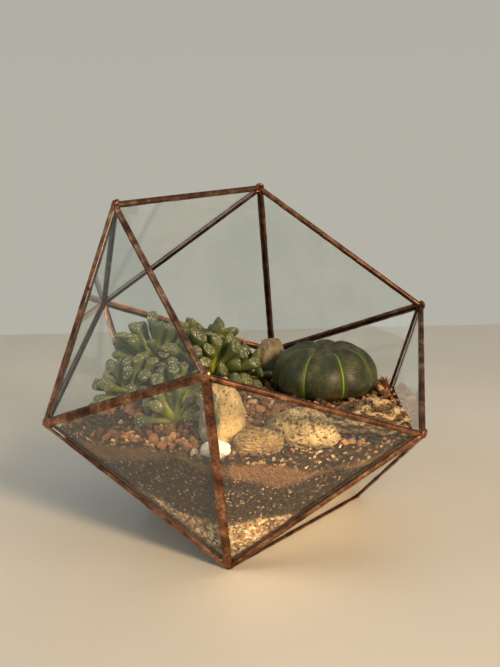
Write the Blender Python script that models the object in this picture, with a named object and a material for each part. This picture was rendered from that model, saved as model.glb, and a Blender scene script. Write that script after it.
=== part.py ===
"""A planted glass terrarium: a regular icosahedron of glass with one corner left open.

Fifteen triangular panes are held by beads of solder over copper foil. Twenty beads are folds
between two panes and five run round the pentagonal mouth. Inside are layers of grit and soil,
stones, a round ribbed plant and seven rosettes of club-shaped leaves.

The model stands on +Z up, its mouth looks towards -Y and up, and its origin is on the table
under the middle of the body. Lengths are in metres.
"""
import math

import bmesh
import bpy
from mathutils import Matrix, Vector

MM = 0.001

# Glass and solder
EDGE = 125 * MM             # corner to corner along every fold
GLASS = 2 * MM              # thickness of a pane
GAP = 0.3 * MM              # clearance between neighbouring solids
PANE_INSET = 1.6 * MM       # from the fold line to the cut edge of a pane
GROOVE = PANE_INSET - GAP   # from the fold line to the bottom of a bead's groove
LAP = 2.4 * MM              # from the fold line to the edge of the foil
FOIL = 0.3 * MM             # thickness of a bead at the edge of the foil
CROWN = 0.9 * MM            # height of the outside bead over the fold line
BEAD = 3.8 * MM             # depth of the inside bead under the fold line
BASE_LIFT = GAP + FOIL      # height of the base pane over the table
BEAD_STEPS = 6              # straight pieces in the round of a bead
MERGE = 0.005 * MM          # corners of a cut that are closer than this become one
FLAT = math.radians(0.1)    # faces that meet flatter than this become one
ON_PLANE = 1e-7             # a vertex this close to a cutting plane lies on it
SMOOTH_BELOW = math.radians(40)       # faces that meet flatter than this are shaded as one
NEAR_TABLE = EDGE / 10      # a corner lower than this is a foot
FIFTH = math.radians(72)    # turn from one fold of a corner to the next
SAME_LENGTH = 1.01          # two lengths with a smaller ratio count as equal
SAME_WAY = 0.99             # cosine from which two directions count as one

# Soil, from the base pane up
WALL_CLEAR = GLASS + GAP    # from the outside of the glass to the soil
BEAD_CLEAR = BEAD + GAP     # from a fold line to the soil
GRIT_TOP = 28 * MM
LOWER_SOIL_TOP = 54 * MM
SAND_TOP = 61 * MM
UPPER_SOIL_TOP = 63 * MM
SURFACE = 70 * MM           # mean height of the gravel
BUMP = 0.8 * MM             # height of the gravel's waves
LONG_WAVE = 15 * MM         # lengths of the gravel's slow and quick waves, each over tau
SHORT_WAVE = 8 * MM
WAVE_SHIFTS = (1.3, -0.4)   # where the slow wave starts along x and y
SLOW_SHARE = 0.6            # of the slow wave in the whole
GRID = 13 * MM              # width of a cell of the gravel's surface
ROOTED = 3 * MM             # depth at which the plants sit in the gravel
SOCKET_ROOM = 1.5 * GAP     # clearance of a stone or plant in its socket

# Club-leaved rosettes
LEAF_LENGTH = 26 * MM
HEAD_RADIUS = 4.2 * MM
NECK_RADIUS = 2.1 * MM
STEM_RADIUS = 3.4 * MM
LEAVES = 9
LEAF_SIDES = 8
STEM_SIDES = 12
SHOULDER = 0.85             # share of a stem's height at which it narrows
STEM_TIP = 0.6              # radius of its top as a share of its foot's
WIDEST_REACH = 20 * MM      # how far an outer leaf leans from its stem
SMALLEST_REACH = 0.5 * MM   # of a leaf that its neighbours hold upright
HEAD_SHARE = 0.9            # how far along a leaf the middle of its head lies
STEEPEST_LEAN = 0.95        # sine of the most that a leaf may lean
BROADSIDE = 0.05            # cosine under which a neighbour is beside a leaf, not before it
WALL_REACH = 86 * MM        # radius of the room that the glass leaves at leaf height
TURN = math.pi * (3 - math.sqrt(5))   # golden angle from one leaf to the next

# Round ribbed plant
GLOBE_PLACE = Vector((48 * MM, -22 * MM))
GLOBE_RADIUS = 32 * MM
GLOBE_HEIGHT = 31.5 * MM    # of its top over the gravel
GLOBE_WAIST = 8 * MM        # height of its widest ring over the gravel
UPPER_FULLNESS = 0.8        # powers of the outline over and under the widest ring: 1 is a plain
LOWER_FULLNESS = 0.5        # ball, and a smaller power gives steeper flanks
GLOBE_SEGMENTS = 5          # for each rib
GLOBE_RINGS = 12
RIBS = 8
FURROW_TURN = math.radians(10.9)
RIB_DEPTH = 0.05            # depth of a furrow as a share of the radius
DIP_DEPTH = 0.16            # of the top, as a share of the height over the waist
DIP_WIDTH = 0.3             # as a share of the radius

# Corners of the icosahedron: three rings of three, and the lip and the brow between them
GOLDEN = (1 + math.sqrt(5)) / 2
NARROW = EDGE / math.sqrt(3)
WIDE = NARROW * GOLDEN
TOP = NARROW * GOLDEN ** 2
CENTRE = Vector((0, 0, TOP / 2 + BASE_LIFT))
HALF_FOLD = math.acos(-math.sqrt(5) / 3) / 2


def corner(radius, azimuth, height):
    angle = math.radians(azimuth)
    return Vector((radius * math.cos(angle), radius * math.sin(angle), height + BASE_LIFT))


CORNERS = {
    "footleft": corner(NARROW, 210, 0),
    "footright": corner(NARROW, 330, 0),
    "footback": corner(NARROW, 90, 0),
    "lip": corner(WIDE, 270, NARROW),
    "left": corner(WIDE, 150, NARROW),
    "right": corner(WIDE, 30, NARROW),
    "browleft": corner(WIDE, 210, WIDE),
    "browright": corner(WIDE, 330, WIDE),
    "back": corner(WIDE, 90, WIDE),
    "topleft": corner(NARROW, 150, TOP),
    "topright": corner(NARROW, 30, TOP),
}
OPEN_CORNER = corner(NARROW, 270, TOP)

PANES = {
    "pane_base": ("footleft", "footright", "footback"),
    "pane_bowl_front": ("lip", "footleft", "footright"),
    "pane_bowl_front_left": ("lip", "browleft", "footleft"),
    "pane_bowl_front_right": ("lip", "browright", "footright"),
    "pane_bowl_left_front": ("browleft", "left", "footleft"),
    "pane_bowl_right_front": ("browright", "right", "footright"),
    "pane_bowl_left_back": ("left", "footleft", "footback"),
    "pane_bowl_right_back": ("right", "footright", "footback"),
    "pane_bowl_back_left": ("left", "back", "footback"),
    "pane_bowl_back_right": ("right", "back", "footback"),
    "pane_left_front": ("topleft", "browleft", "left"),
    "pane_right_front": ("topright", "browright", "right"),
    "pane_left_back": ("topleft", "left", "back"),
    "pane_right_back": ("topright", "right", "back"),
    "pane_back_top": ("topleft", "topright", "back"),
}

# Stones: place, half sizes and depth in the gravel in millimetres, turn in degrees, narrowing
# towards the top and ripple
STONES = {
    "tall_stone": ((-61, -34), (12.3, 11, 17.5), 3, 30, 0.25, 0.3),
    "white_pebble": ((-78, -43.5), (7, 4.8, 4.8), 3, -51, 0, 1.1),
    "small_pitted_stone": ((-59, -54.5), (12, 7, 7.5), 5.5, -38, 0.1, 2.3),
    "large_pitted_stone": ((-34.5, -66), (18, 11, 10.5), 5, -66, 0.15, 3.2),
    "banded_stone": ((-1, -85), (19.5, 10, 9), 3, -54, 0.15, 4.4),
    "back_pale_stone": ((49, 19), (8.5, 7.5, 15.5), 3, 10, 0.2, 5.1),
    "left_grey_pebble": ((-31, 77), (6.2, 6, 10.5), 3, 0, 0.1, 0.7),
}
UNEVEN = 0.05               # height of a stone's ripples as a share of its size
STONE_COLOURS = {
    "tall_stone": "B59A72",
    "white_pebble": "DCD8CF",
    "small_pitted_stone": "9C8460",
    "large_pitted_stone": "B8A27A",
    "banded_stone": "8A6F52",
    "back_pale_stone": "C2B8A6",
    "left_grey_pebble": "A9A49B",
}

# Rosettes: place on the gravel and height of the stem, in millimetres
ROSETTES = {
    "rosette_left": ((-37, 56), 5),
    "rosette_front": ((-30, 26), 4),
    "rosette_back_left": ((-8, 61), 16),
    "rosette_middle": ((1, 30), 10),
    "rosette_back_right": ((22, 55), 12),
    "rosette_right": ((26, 29), 6),
    "rosette_by_glass": ((-54, 5), 2),
}


# Materials

def linear(hex_colour):
    """An sRGB hex colour as linear red, green, blue and full alpha."""
    channels = []
    for start in (0, 2, 4):
        value = int(hex_colour[start:start + 2], 16) / 255
        channels.append(value / 12.92 if value <= 0.04045 else ((value + 0.055) / 1.055) ** 2.4)
    return (*channels, 1)


def material(name, hex_colour, roughness, metallic=0, transmission=0):
    finish = bpy.data.materials.new(name)
    finish.use_nodes = True
    shader = finish.node_tree.nodes["Principled BSDF"]
    shader.inputs["Base Color"].default_value = linear(hex_colour)
    shader.inputs["Roughness"].default_value = roughness
    shader.inputs["Metallic"].default_value = metallic
    shader.inputs["Transmission Weight"].default_value = transmission
    finish.diffuse_color = linear(hex_colour)
    return finish


# Mesh helpers

def finish_object(name, mesh_data, finish, smooth=False):
    """Turn a bmesh into a named object with one material."""
    bmesh.ops.recalc_face_normals(mesh_data, faces=mesh_data.faces)
    mesh = bpy.data.meshes.new(name)
    mesh_data.to_mesh(mesh)
    mesh_data.free()
    mesh.materials.append(finish)
    if smooth:
        mesh.shade_smooth()
        mesh.set_sharp_from_angle(angle=SMOOTH_BELOW)
    piece = bpy.data.objects.new(name, mesh)
    bpy.context.scene.collection.objects.link(piece)
    return piece


def cut(mesh_data, point, outward):
    """Remove what lies past a plane and close the cut with a face."""
    everything = mesh_data.verts[:] + mesh_data.edges[:] + mesh_data.faces[:]
    bmesh.ops.bisect_plane(
        mesh_data, geom=everything, dist=ON_PLANE, plane_co=point, plane_no=outward,
        clear_outer=True)
    bmesh.ops.remove_doubles(mesh_data, verts=mesh_data.verts, dist=MERGE)
    rim = [edge for edge in mesh_data.edges if edge.is_boundary]
    if rim:
        bmesh.ops.holes_fill(mesh_data, edges=rim)
    bmesh.ops.dissolve_limit(
        mesh_data, angle_limit=FLAT, verts=mesh_data.verts, edges=mesh_data.edges)


def extrude_outline(points, direction):
    """A closed prism on a flat outline."""
    mesh_data = bmesh.new()
    face = mesh_data.faces.new([mesh_data.verts.new(point) for point in points])
    extruded = bmesh.ops.extrude_face_region(mesh_data, geom=[face])
    far_side = [item for item in extruded["geom"] if isinstance(item, bmesh.types.BMVert)]
    bmesh.ops.translate(mesh_data, verts=far_side, vec=direction)
    bmesh.ops.recalc_face_normals(mesh_data, faces=mesh_data.faces)
    return mesh_data


def make_cutters(owner, cutters, operation):
    """Apply one Boolean modifier for a group of cutter objects, which stay out of the model."""
    group = bpy.data.collections.new(owner.name + "_cutters")
    bpy.context.scene.collection.children.link(group)
    for cutter in cutters:
        bpy.context.scene.collection.objects.unlink(cutter)
        group.objects.link(cutter)
        cutter.hide_render = True
        cutter.display_type = "WIRE"
    modifier = owner.modifiers.new("Cutters", "BOOLEAN")
    modifier.operation = operation
    modifier.operand_type = "COLLECTION"
    modifier.collection = group
    modifier.solver = "EXACT"


# Panes

def outward_normal(corners):
    first, second, third = corners
    normal = (second - first).cross(third - first).normalized()
    return normal if normal.dot(first - CENTRE) > 0 else -normal


def make_pane(name, corner_names, finish):
    corners = [CORNERS[corner_name] for corner_name in corner_names]
    middle = sum(corners, Vector()) / 3
    inscribed = EDGE / math.sqrt(12)
    share = 1 - PANE_INSET / inscribed
    outline = [middle + (point - middle) * share for point in corners]
    prism = extrude_outline(outline, -outward_normal(corners) * GLASS)
    finish_object(name, prism, finish)


# Solder beads

def fold_point(along, depth):
    """Sideways and outward place of a point over a pane, counted from the fold line."""
    side = along * math.sin(HALF_FOLD) - depth * math.cos(HALF_FOLD)
    outward = -along * math.cos(HALF_FOLD) - depth * math.sin(HALF_FOLD)
    return Vector((side, outward))


def arc(edge, peak):
    """A flat arc from an edge point over the peak to the edge's mirror point."""
    rise = peak - edge.y
    radius = (edge.x ** 2 + rise ** 2) / (2 * rise)
    sweep = math.asin(edge.x / radius)
    points = []
    for step in range(BEAD_STEPS + 1):
        angle = sweep * (1 - 2 * step / BEAD_STEPS)
        points.append(Vector((radius * math.sin(angle), peak - radius + radius * math.cos(angle))))
    return points


def seam_profile():
    """An H: an outside and an inside bead, joined by a web between the two panes."""
    outside = arc(fold_point(LAP, -GAP - FOIL), CROWN)
    inside = arc(fold_point(LAP, GLASS + GAP + FOIL), -BEAD)
    slot = [
        fold_point(LAP, -GAP),
        fold_point(GROOVE, -GAP),
        fold_point(GROOVE, GLASS + GAP),
        fold_point(LAP, GLASS + GAP),
    ]
    mirrored_slot = [Vector((-point.x, point.y)) for point in slot]
    return outside + mirrored_slot + inside[::-1] + slot[::-1]


def rim_profile():
    """A U round the edge of one pane, as distances along the pane and into it."""
    nose_radius = GLASS / 2 + GAP + FOIL
    points = [Vector((LAP, -GAP)), Vector((LAP, -GAP - FOIL))]
    for step in range(BEAD_STEPS + 1):
        angle = math.pi * step / BEAD_STEPS
        along = GROOVE - nose_radius * math.sin(angle)
        points.append(Vector((along, GLASS / 2 - nose_radius * math.cos(angle))))
    points += [Vector((LAP, GLASS + GAP + FOIL)), Vector((LAP, GLASS + GAP))]
    points += [Vector((GROOVE, GLASS + GAP)), Vector((GROOVE, -GAP))]
    return points


def mitre(bead, end, other_end):
    """Cut one end of a bead so that it meets the other beads of that corner."""
    axis = (end - CENTRE).normalized()
    along = other_end - end
    flat = (along - axis * along.dot(axis)).normalized()
    to_opening = OPEN_CORNER - end
    opening = (to_opening - axis * to_opening.dot(axis)).normalized()
    on_mouth = to_opening.length < EDGE * SAME_LENGTH
    for side in (1, -1):
        neighbour = Matrix.Rotation(side * FIFTH, 3, axis) @ flat
        beside_opening = on_mouth and neighbour.dot(opening) > SAME_WAY
        border_turn = FIFTH if beside_opening else FIFTH / 2
        border = Matrix.Rotation(side * border_turn, 3, axis) @ flat
        outward = axis.cross(border) * side
        bmesh.ops.triangulate(bead, faces=bead.faces)
        cut(bead, end - outward * GAP / 2, outward)


def make_bead(name, ends, side_axis, out_axis, profile, finish):
    start, end = ends
    overshoot = (end - start).normalized() * LAP
    outline = [start - overshoot + side_axis * point.x + out_axis * point.y for point in profile]
    bead = extrude_outline(outline, end - start + overshoot * 2)
    mitre(bead, start, end)
    mitre(bead, end, start)
    if min(start.z, end.z) < NEAR_TABLE:
        bmesh.ops.triangulate(bead, faces=bead.faces)
        cut(bead, Vector((0, 0, 0)), Vector((0, 0, -1)))
    finish_object(name, bead, finish, smooth=True)


def into_pane(ends, corner_names):
    """Direction from a fold line into a pane, square to the fold."""
    middle = sum((CORNERS[name] for name in corner_names), Vector()) / 3
    along = (ends[1] - ends[0]).normalized()
    inward = middle - ends[0]
    return (inward - along * inward.dot(along)).normalized()


def fold_lines():
    """Every pair of corners that a pane joins, with the panes on it."""
    lines = {}
    order = list(CORNERS)
    for corner_names in PANES.values():
        for first in corner_names:
            for second in corner_names:
                if order.index(first) < order.index(second):
                    lines.setdefault((first, second), []).append(corner_names)
    return lines


def make_beads(finish):
    seam = seam_profile()
    rim = rim_profile()
    for (first, second), panes in fold_lines().items():
        ends = (CORNERS[first], CORNERS[second])
        into = [into_pane(ends, pane) for pane in panes]
        if len(panes) == 2:
            side_axis = (into[0] - into[1]).normalized()
            out_axis = -(into[0] + into[1]).normalized()
            make_bead(f"seam_{first}_{second}", ends, side_axis, out_axis, seam, finish)
        else:
            normal = outward_normal([CORNERS[name] for name in panes[0]])
            make_bead(f"rim_{first}_{second}", ends, into[0], -normal, rim, finish)


# Soil

def bowl_block(low, high):
    """The room inside the bowl between two heights."""
    block = bmesh.new()
    bmesh.ops.create_cube(block, size=4 * EDGE)
    for corner_names in PANES.values():
        corners = [CORNERS[name] for name in corner_names]
        outward = outward_normal(corners)
        cut(block, corners[0] - outward * WALL_CLEAR, outward)
    for (first, _), panes in fold_lines().items():
        if len(panes) == 2:
            outward = sum((outward_normal([CORNERS[name] for name in pane]) for pane in panes), Vector())
            outward.normalize()
            cut(block, CORNERS[first] - outward * BEAD_CLEAR, outward)
    cut(block, Vector((0, 0, low)), Vector((0, 0, -1)))
    cut(block, Vector((0, 0, high)), Vector((0, 0, 1)))
    return block


def make_layer(name, low, high, finish):
    finish_object(name, bowl_block(low + BASE_LIFT, high - GAP + BASE_LIFT), finish)


def wave(x, y):
    """Height of the gravel's surface over its mean, between plus and minus one."""
    slow = math.sin(x / LONG_WAVE + WAVE_SHIFTS[0]) * math.cos(y / LONG_WAVE + WAVE_SHIFTS[1])
    quick = math.sin((x - y) / SHORT_WAVE)
    return SLOW_SHARE * slow + (1 - SLOW_SHARE) * quick


def make_gravel(finish):
    block = bowl_block(UPPER_SOIL_TOP + BASE_LIFT, SURFACE + BASE_LIFT)
    lines = int(WIDE / GRID)
    for axis in (Vector((1, 0, 0)), Vector((0, 1, 0))):
        for line in range(-lines, lines + 1):
            everything = block.verts[:] + block.edges[:] + block.faces[:]
            bmesh.ops.bisect_plane(
                block, geom=everything, dist=ON_PLANE, plane_co=axis * line * GRID, plane_no=axis)
    top = [face for face in block.faces if face.calc_center_median().z > SURFACE + BASE_LIFT - GAP]
    on_edge = {vert for edge in block.edges for vert in edge.verts
               if any(face not in top for face in edge.link_faces)}
    bmesh.ops.triangulate(block, faces=top)
    for vert in block.verts:
        if vert.co.z > SURFACE + BASE_LIFT - GAP and vert not in on_edge:
            vert.co.z += BUMP * wave(vert.co.x, vert.co.y)
    return finish_object("gravel_top", block, finish)


# Stones and plants

def stone_mesh(sizes, turn, narrowing, ripple, grow=0):
    """A worn stone: a ball with uneven sides, smaller towards its top."""
    ball = bmesh.new()
    bmesh.ops.create_icosphere(ball, subdivisions=3, radius=1)
    for vert in ball.verts:
        x, y, z = vert.co
        ripples = math.sin(3 * x + ripple) + math.sin(4 * y - 2 * z + 2 * ripple)
        uneven = 1 + UNEVEN * ripples
        taper = 1 - narrowing * z
        vert.co.x = x * uneven * taper * (sizes[0] * MM + grow)
        vert.co.y = y * uneven * taper * (sizes[1] * MM + grow)
        vert.co.z = z * uneven * (sizes[2] * MM + grow)
    bmesh.ops.rotate(ball, verts=ball.verts, matrix=Matrix.Rotation(math.radians(turn), 3, "Z"))
    return ball


def make_stone(name, grow=0, finish=None):
    place, sizes, depth, turn, narrowing, ripple = STONES[name]
    ball = stone_mesh(sizes, turn, narrowing, ripple, grow)
    height = SURFACE + BASE_LIFT + (sizes[2] - depth) * MM
    bmesh.ops.translate(ball, verts=ball.verts, vec=Vector((place[0] * MM, place[1] * MM, height)))
    suffix = "_socket" if grow else ""
    return finish_object(name + suffix, ball, finish, smooth=True)


def make_globe(name, grow=0, finish=None):
    """The round plant: a low dome on a flatter foot, with furrows between ribs and a dip on top."""
    ball = bmesh.new()
    bmesh.ops.create_uvsphere(ball, u_segments=RIBS * GLOBE_SEGMENTS, v_segments=GLOBE_RINGS, radius=1)
    for vert in ball.verts:
        around = math.atan2(vert.co.y, vert.co.x)
        outward = math.hypot(vert.co.x, vert.co.y)
        furrow = 1 - RIB_DEPTH * (1 - abs(math.sin((around - FURROW_TURN) * RIBS / 2))) ** 2
        above = vert.co.z > 0
        power = UPPER_FULLNESS if above else LOWER_FULLNESS
        full = outward ** power * furrow * (GLOBE_RADIUS + grow)
        half_height = GLOBE_HEIGHT - GLOBE_WAIST if above else GLOBE_WAIST + ROOTED
        dip = DIP_DEPTH * max(0, vert.co.z) * math.exp(-(outward / DIP_WIDTH) ** 2)
        vert.co.x = math.cos(around) * full
        vert.co.y = math.sin(around) * full
        vert.co.z = (vert.co.z - dip) * (half_height + grow)
    place = Vector((GLOBE_PLACE.x, GLOBE_PLACE.y, SURFACE + BASE_LIFT + GLOBE_WAIST))
    bmesh.ops.translate(ball, verts=ball.verts, vec=place)
    return finish_object(name, ball, finish, smooth=True)


def turned(profile, steps):
    """A closed shape turned about Z from a list of radius and height."""
    shape = bmesh.new()
    verts = [shape.verts.new((radius, 0, height)) for radius, height in profile]
    edges = [shape.edges.new(pair) for pair in zip(verts, verts[1:])]
    bmesh.ops.spin(
        shape, geom=verts + edges, cent=(0, 0, 0), axis=(0, 0, 1), dvec=(0, 0, 0),
        angle=math.tau, steps=steps, use_merge=True, use_duplicate=False)
    bmesh.ops.remove_doubles(shape, verts=shape.verts, dist=ON_PLANE)
    return shape


def free_ways(name):
    """Directions from a rosette to its neighbours, with the room that it has in each."""
    base = Vector(ROSETTES[name][0]) * MM
    ways = [(base.normalized(), WALL_REACH - base.length)]
    for other, (place, _) in ROSETTES.items():
        if other != name:
            apart = Vector(place) * MM - base
            ways.append((apart.normalized(), (apart.length - GAP) / 2))
    uneven = 1 + 2 * UNEVEN
    solids = [(Vector(stone[0]) * MM, max(stone[1][:2]) * uneven * MM) for stone in STONES.values()]
    solids.append((GLOBE_PLACE, GLOBE_RADIUS))
    for place, radius in solids:
        apart = place - base
        ways.append((apart.normalized(), apart.length - radius - GAP))
    return ways


def lean(ways, azimuth, wanted):
    """How far a leaf leans out, up to what its neighbours leave it."""
    direction = Vector((math.cos(azimuth), math.sin(azimuth)))
    reach = wanted
    for way, room in ways:
        towards = direction.dot(way)
        if towards > BROADSIDE:
            reach = min(reach, (room - HEAD_RADIUS) / towards)
    return max(reach, SMALLEST_REACH)


def leaf_profile(length):
    """A club: a slim foot, a full head and a blunt tip."""
    return [
        (0, 0),
        (NECK_RADIUS, 0),
        (NECK_RADIUS * 0.95, length * 0.4),
        (HEAD_RADIUS * 0.8, length * 0.7),
        (HEAD_RADIUS, length * 0.86),
        (HEAD_RADIUS * 0.78, length * 0.97),
        (0, length),
    ]


def make_leaf(name, foot, azimuth, reach):
    leaf = turned(leaf_profile(LEAF_LENGTH), LEAF_SIDES)
    tilt = math.asin(min(reach / (LEAF_LENGTH * HEAD_SHARE), STEEPEST_LEAN))
    stand = Matrix.Rotation(azimuth, 4, "Z") @ Matrix.Rotation(tilt, 4, "Y")
    bmesh.ops.transform(leaf, verts=leaf.verts, matrix=Matrix.Translation(foot) @ stand)
    return finish_object(name, leaf, None)


def make_stem(name, stem_height, radius, finish):
    """The short stem of a rosette, rooted in the gravel."""
    length = ROOTED + stem_height
    profile = [
        (0, 0), (radius, 0), (radius, length * SHOULDER), (radius * STEM_TIP, length), (0, length)]
    stem = turned(profile, STEM_SIDES)
    place = ROSETTES[name.removesuffix("_socket")][0]
    foot = Vector((place[0] * MM, place[1] * MM, SURFACE + BASE_LIFT - ROOTED))
    bmesh.ops.translate(stem, verts=stem.verts, vec=foot)
    return finish_object(name, stem, finish, smooth=True)


def make_rosette(name, finish):
    place, stem_height = ROSETTES[name]
    stem = make_stem(name, stem_height * MM, STEM_RADIUS, finish)
    ways = free_ways(name)
    foot = Vector((place[0] * MM, place[1] * MM, SURFACE + BASE_LIFT + stem_height * MM - NECK_RADIUS))
    leaves = []
    for number in range(LEAVES):
        azimuth = number * TURN + place[0]
        wanted = WIDEST_REACH * math.sqrt(number / (LEAVES - 1))
        reach = lean(ways, azimuth, wanted)
        leaves.append(make_leaf(f"{name}_leaf_{number}", foot, azimuth, reach))
    make_cutters(stem, leaves, "UNION")


def make_sockets(gravel):
    """Room in the gravel for the feet of the stones and plants."""
    sockets = [make_stone(name, grow=SOCKET_ROOM) for name in STONES]
    sockets.append(make_globe("round_plant_socket", grow=SOCKET_ROOM))
    for name, (_, stem_height) in ROSETTES.items():
        sockets.append(make_stem(name + "_socket", stem_height * MM, STEM_RADIUS + GAP, None))
    for socket in sockets:
        socket.location.z -= GAP
    make_cutters(gravel, sockets, "DIFFERENCE")


def main():
    for old in list(bpy.data.objects):
        bpy.data.objects.remove(old)
    glass = material("clear_glass", "E6EEEA", 0.03, transmission=1)
    solder = material("copper_solder", "8A4B33", 0.38, metallic=1)
    for name, corner_names in PANES.items():
        make_pane(name, corner_names, glass)
    make_beads(solder)
    make_layer("drainage_grit", WALL_CLEAR, GRIT_TOP, material("grit", "A58F74", 0.9))
    make_layer("lower_soil", GRIT_TOP, LOWER_SOIL_TOP, material("dark_soil", "3B2D24", 0.95))
    make_layer("sand_band", LOWER_SOIL_TOP, SAND_TOP, material("brown_sand", "7A5C43", 0.95))
    make_layer("upper_soil", SAND_TOP, UPPER_SOIL_TOP, material("top_soil", "44342A", 0.95))
    gravel = make_gravel(material("gravel", "7D5540", 0.9))
    make_sockets(gravel)
    for name, hex_colour in STONE_COLOURS.items():
        make_stone(name, finish=material(name, hex_colour, 0.85))
    make_globe("round_ribbed_plant", finish=material("round_plant", "4E5F3C", 0.55))
    leaf_skin = material("club_leaf", "6F8446", 0.5)
    for name in ROSETTES:
        make_rosette(name, leaf_skin)


main()
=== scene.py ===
# %% [markdown]
# # A planted glass terrarium
# The real object is a body of glass triangles soldered edge to edge, with one side left open, and a
# small dry garden inside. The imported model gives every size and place. This lesson puts the finished
# surfaces around it: solder, glass, grit, soil, gravel, stones and succulent plants.

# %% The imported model
import math
import random

import bmesh
import bpy
from mathutils import Matrix, Vector, noise


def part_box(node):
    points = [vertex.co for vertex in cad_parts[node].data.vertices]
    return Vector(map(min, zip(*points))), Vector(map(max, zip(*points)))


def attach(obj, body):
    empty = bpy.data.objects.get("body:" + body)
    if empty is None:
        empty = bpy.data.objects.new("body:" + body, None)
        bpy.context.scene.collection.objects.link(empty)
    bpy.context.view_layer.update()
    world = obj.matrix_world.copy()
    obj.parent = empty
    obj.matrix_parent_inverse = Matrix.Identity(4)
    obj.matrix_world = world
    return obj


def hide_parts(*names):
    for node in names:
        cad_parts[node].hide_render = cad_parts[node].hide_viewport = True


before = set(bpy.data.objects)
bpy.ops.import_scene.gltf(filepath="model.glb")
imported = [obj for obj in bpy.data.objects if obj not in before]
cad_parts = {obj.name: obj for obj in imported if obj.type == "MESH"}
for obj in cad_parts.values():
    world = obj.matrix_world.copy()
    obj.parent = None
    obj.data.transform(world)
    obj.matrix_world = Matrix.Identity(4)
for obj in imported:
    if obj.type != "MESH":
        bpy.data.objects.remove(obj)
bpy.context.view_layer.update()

MM = 0.001
print("nodes:", len(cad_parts))

# %% [markdown]
# The body is a regular icosahedron that stands on one face. Its corners follow from one length, the
# edge, which is read back from the base pane: each pane is cut back a little from the fold lines.

# %% Corners of the body
GLASS = 2 * MM
PANE_INSET = 1.6 * MM
GAP = 0.3 * MM
GOLDEN = (1 + math.sqrt(5)) / 2
base_low, base_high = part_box("pane_base")
EDGE = base_high.x - base_low.x + 2 * math.sqrt(3) * PANE_INSET
LIFT = base_low.z
NARROW = EDGE / math.sqrt(3)
WIDE = NARROW * GOLDEN
TOP = NARROW * GOLDEN ** 2
CENTRE = Vector((0, 0, TOP / 2 + LIFT))
HALF_FOLD = math.acos(-math.sqrt(5) / 3) / 2


def corner(radius, azimuth, height):
    angle = math.radians(azimuth)
    return Vector((radius * math.cos(angle), radius * math.sin(angle), height + LIFT))


CORNERS = {
    "footleft": corner(NARROW, 210, 0),
    "footright": corner(NARROW, 330, 0),
    "footback": corner(NARROW, 90, 0),
    "lip": corner(WIDE, 270, NARROW),
    "left": corner(WIDE, 150, NARROW),
    "right": corner(WIDE, 30, NARROW),
    "browleft": corner(WIDE, 210, WIDE),
    "browright": corner(WIDE, 330, WIDE),
    "back": corner(WIDE, 90, WIDE),
    "topleft": corner(NARROW, 150, TOP),
    "topright": corner(NARROW, 30, TOP),
}
OPEN_CORNER = corner(NARROW, 270, TOP)
print("edge in mm:", round(EDGE / MM, 2))

# %% [markdown]
# The camera comes early, so that every later piece can be looked at. It stands low in front of one
# foot of the body, a little over half a metre away, and is tilted by about a degree.

# %% Camera
VIEW_AZIMUTH = math.radians(-51.13)
VIEW_ELEVATION = math.radians(12.49)
VIEW_ROLL = math.radians(-1.23)
VIEW_PLACE = Vector((-3.4952, -2.8476, 1.8804)) * EDGE + Vector((0, 0, LIFT))
LENS = 54.6             # focal length in millimetres behind a frame that is 36 mm wide
FRAME_WIDTH = 36


def make_camera():
    data = bpy.data.cameras.new("camera")
    data.lens = LENS
    data.sensor_width = FRAME_WIDTH
    data.clip_start = 0.01
    camera = bpy.data.objects.new("camera", data)
    turn = Matrix.Rotation(VIEW_AZIMUTH, 4, "Z")
    turn = turn @ Matrix.Rotation(math.pi / 2 - VIEW_ELEVATION, 4, "X")
    turn = turn @ Matrix.Rotation(VIEW_ROLL, 4, "Z")
    camera.matrix_world = Matrix.Translation(VIEW_PLACE) @ turn
    bpy.context.scene.collection.objects.link(camera)
    bpy.context.scene.camera = camera
    return camera


camera = make_camera()
print("camera at", [round(value, 3) for value in camera.location])

# %% [markdown]
# Colours are written as sRGB hex values, as on a paint chart, and turned to the linear values that
# the shader works in. One helper adds any shader node, sets it up and links it.

# %% Helpers for materials

def linear(hex_colour):
    """An sRGB hex colour as linear red, green, blue and full alpha."""
    channels = []
    for start in (0, 2, 4):
        value = int(hex_colour[start:start + 2], 16) / 255
        channels.append(value / 12.92 if value <= 0.04045 else ((value + 0.055) / 1.055) ** 2.4)
    return (*channels, 1)


def add(owner, kind, inputs=None, stops=None, **settings):
    """Add a shader node. Inputs are values or sockets, stops are a ramp's places and colours."""
    tree = owner.node_tree
    made = tree.nodes.new(kind)
    for name, value in settings.items():
        setattr(made, name, value)
    for name, value in (inputs or {}).items():
        if isinstance(value, bpy.types.NodeSocket):
            tree.links.new(value, made.inputs[name])
        elif isinstance(value, str):
            made.inputs[name].default_value = linear(value)
        else:
            made.inputs[name].default_value = value
    if stops:
        ramp = made.color_ramp
        while len(ramp.elements) < len(stops):
            ramp.elements.new(1)
        for element, (place, colour) in zip(ramp.elements, stops):
            element.position = place
            element.color = linear(colour)
    return made


def begin(name, roughness, metallic=0.0):
    """A new material with its Principled shader and the Object coordinates."""
    material = bpy.data.materials.new(name)
    material.use_nodes = True
    shader = material.node_tree.nodes["Principled BSDF"]
    shader.inputs["Roughness"].default_value = roughness
    shader.inputs["Metallic"].default_value = metallic
    place = add(material, "ShaderNodeTexCoord").outputs["Object"]
    return material, shader, place


def wire(material, shader, **sockets):
    """Link sockets to the shader's inputs, with _ for a space in an input's name."""
    for name, socket in sockets.items():
        material.node_tree.links.new(socket, shader.inputs[name.replace("_", " ")])


def per_metre(millimetres):
    """Texture scale for a pattern whose features are this far apart."""
    return 1 / (millimetres * MM)


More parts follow.
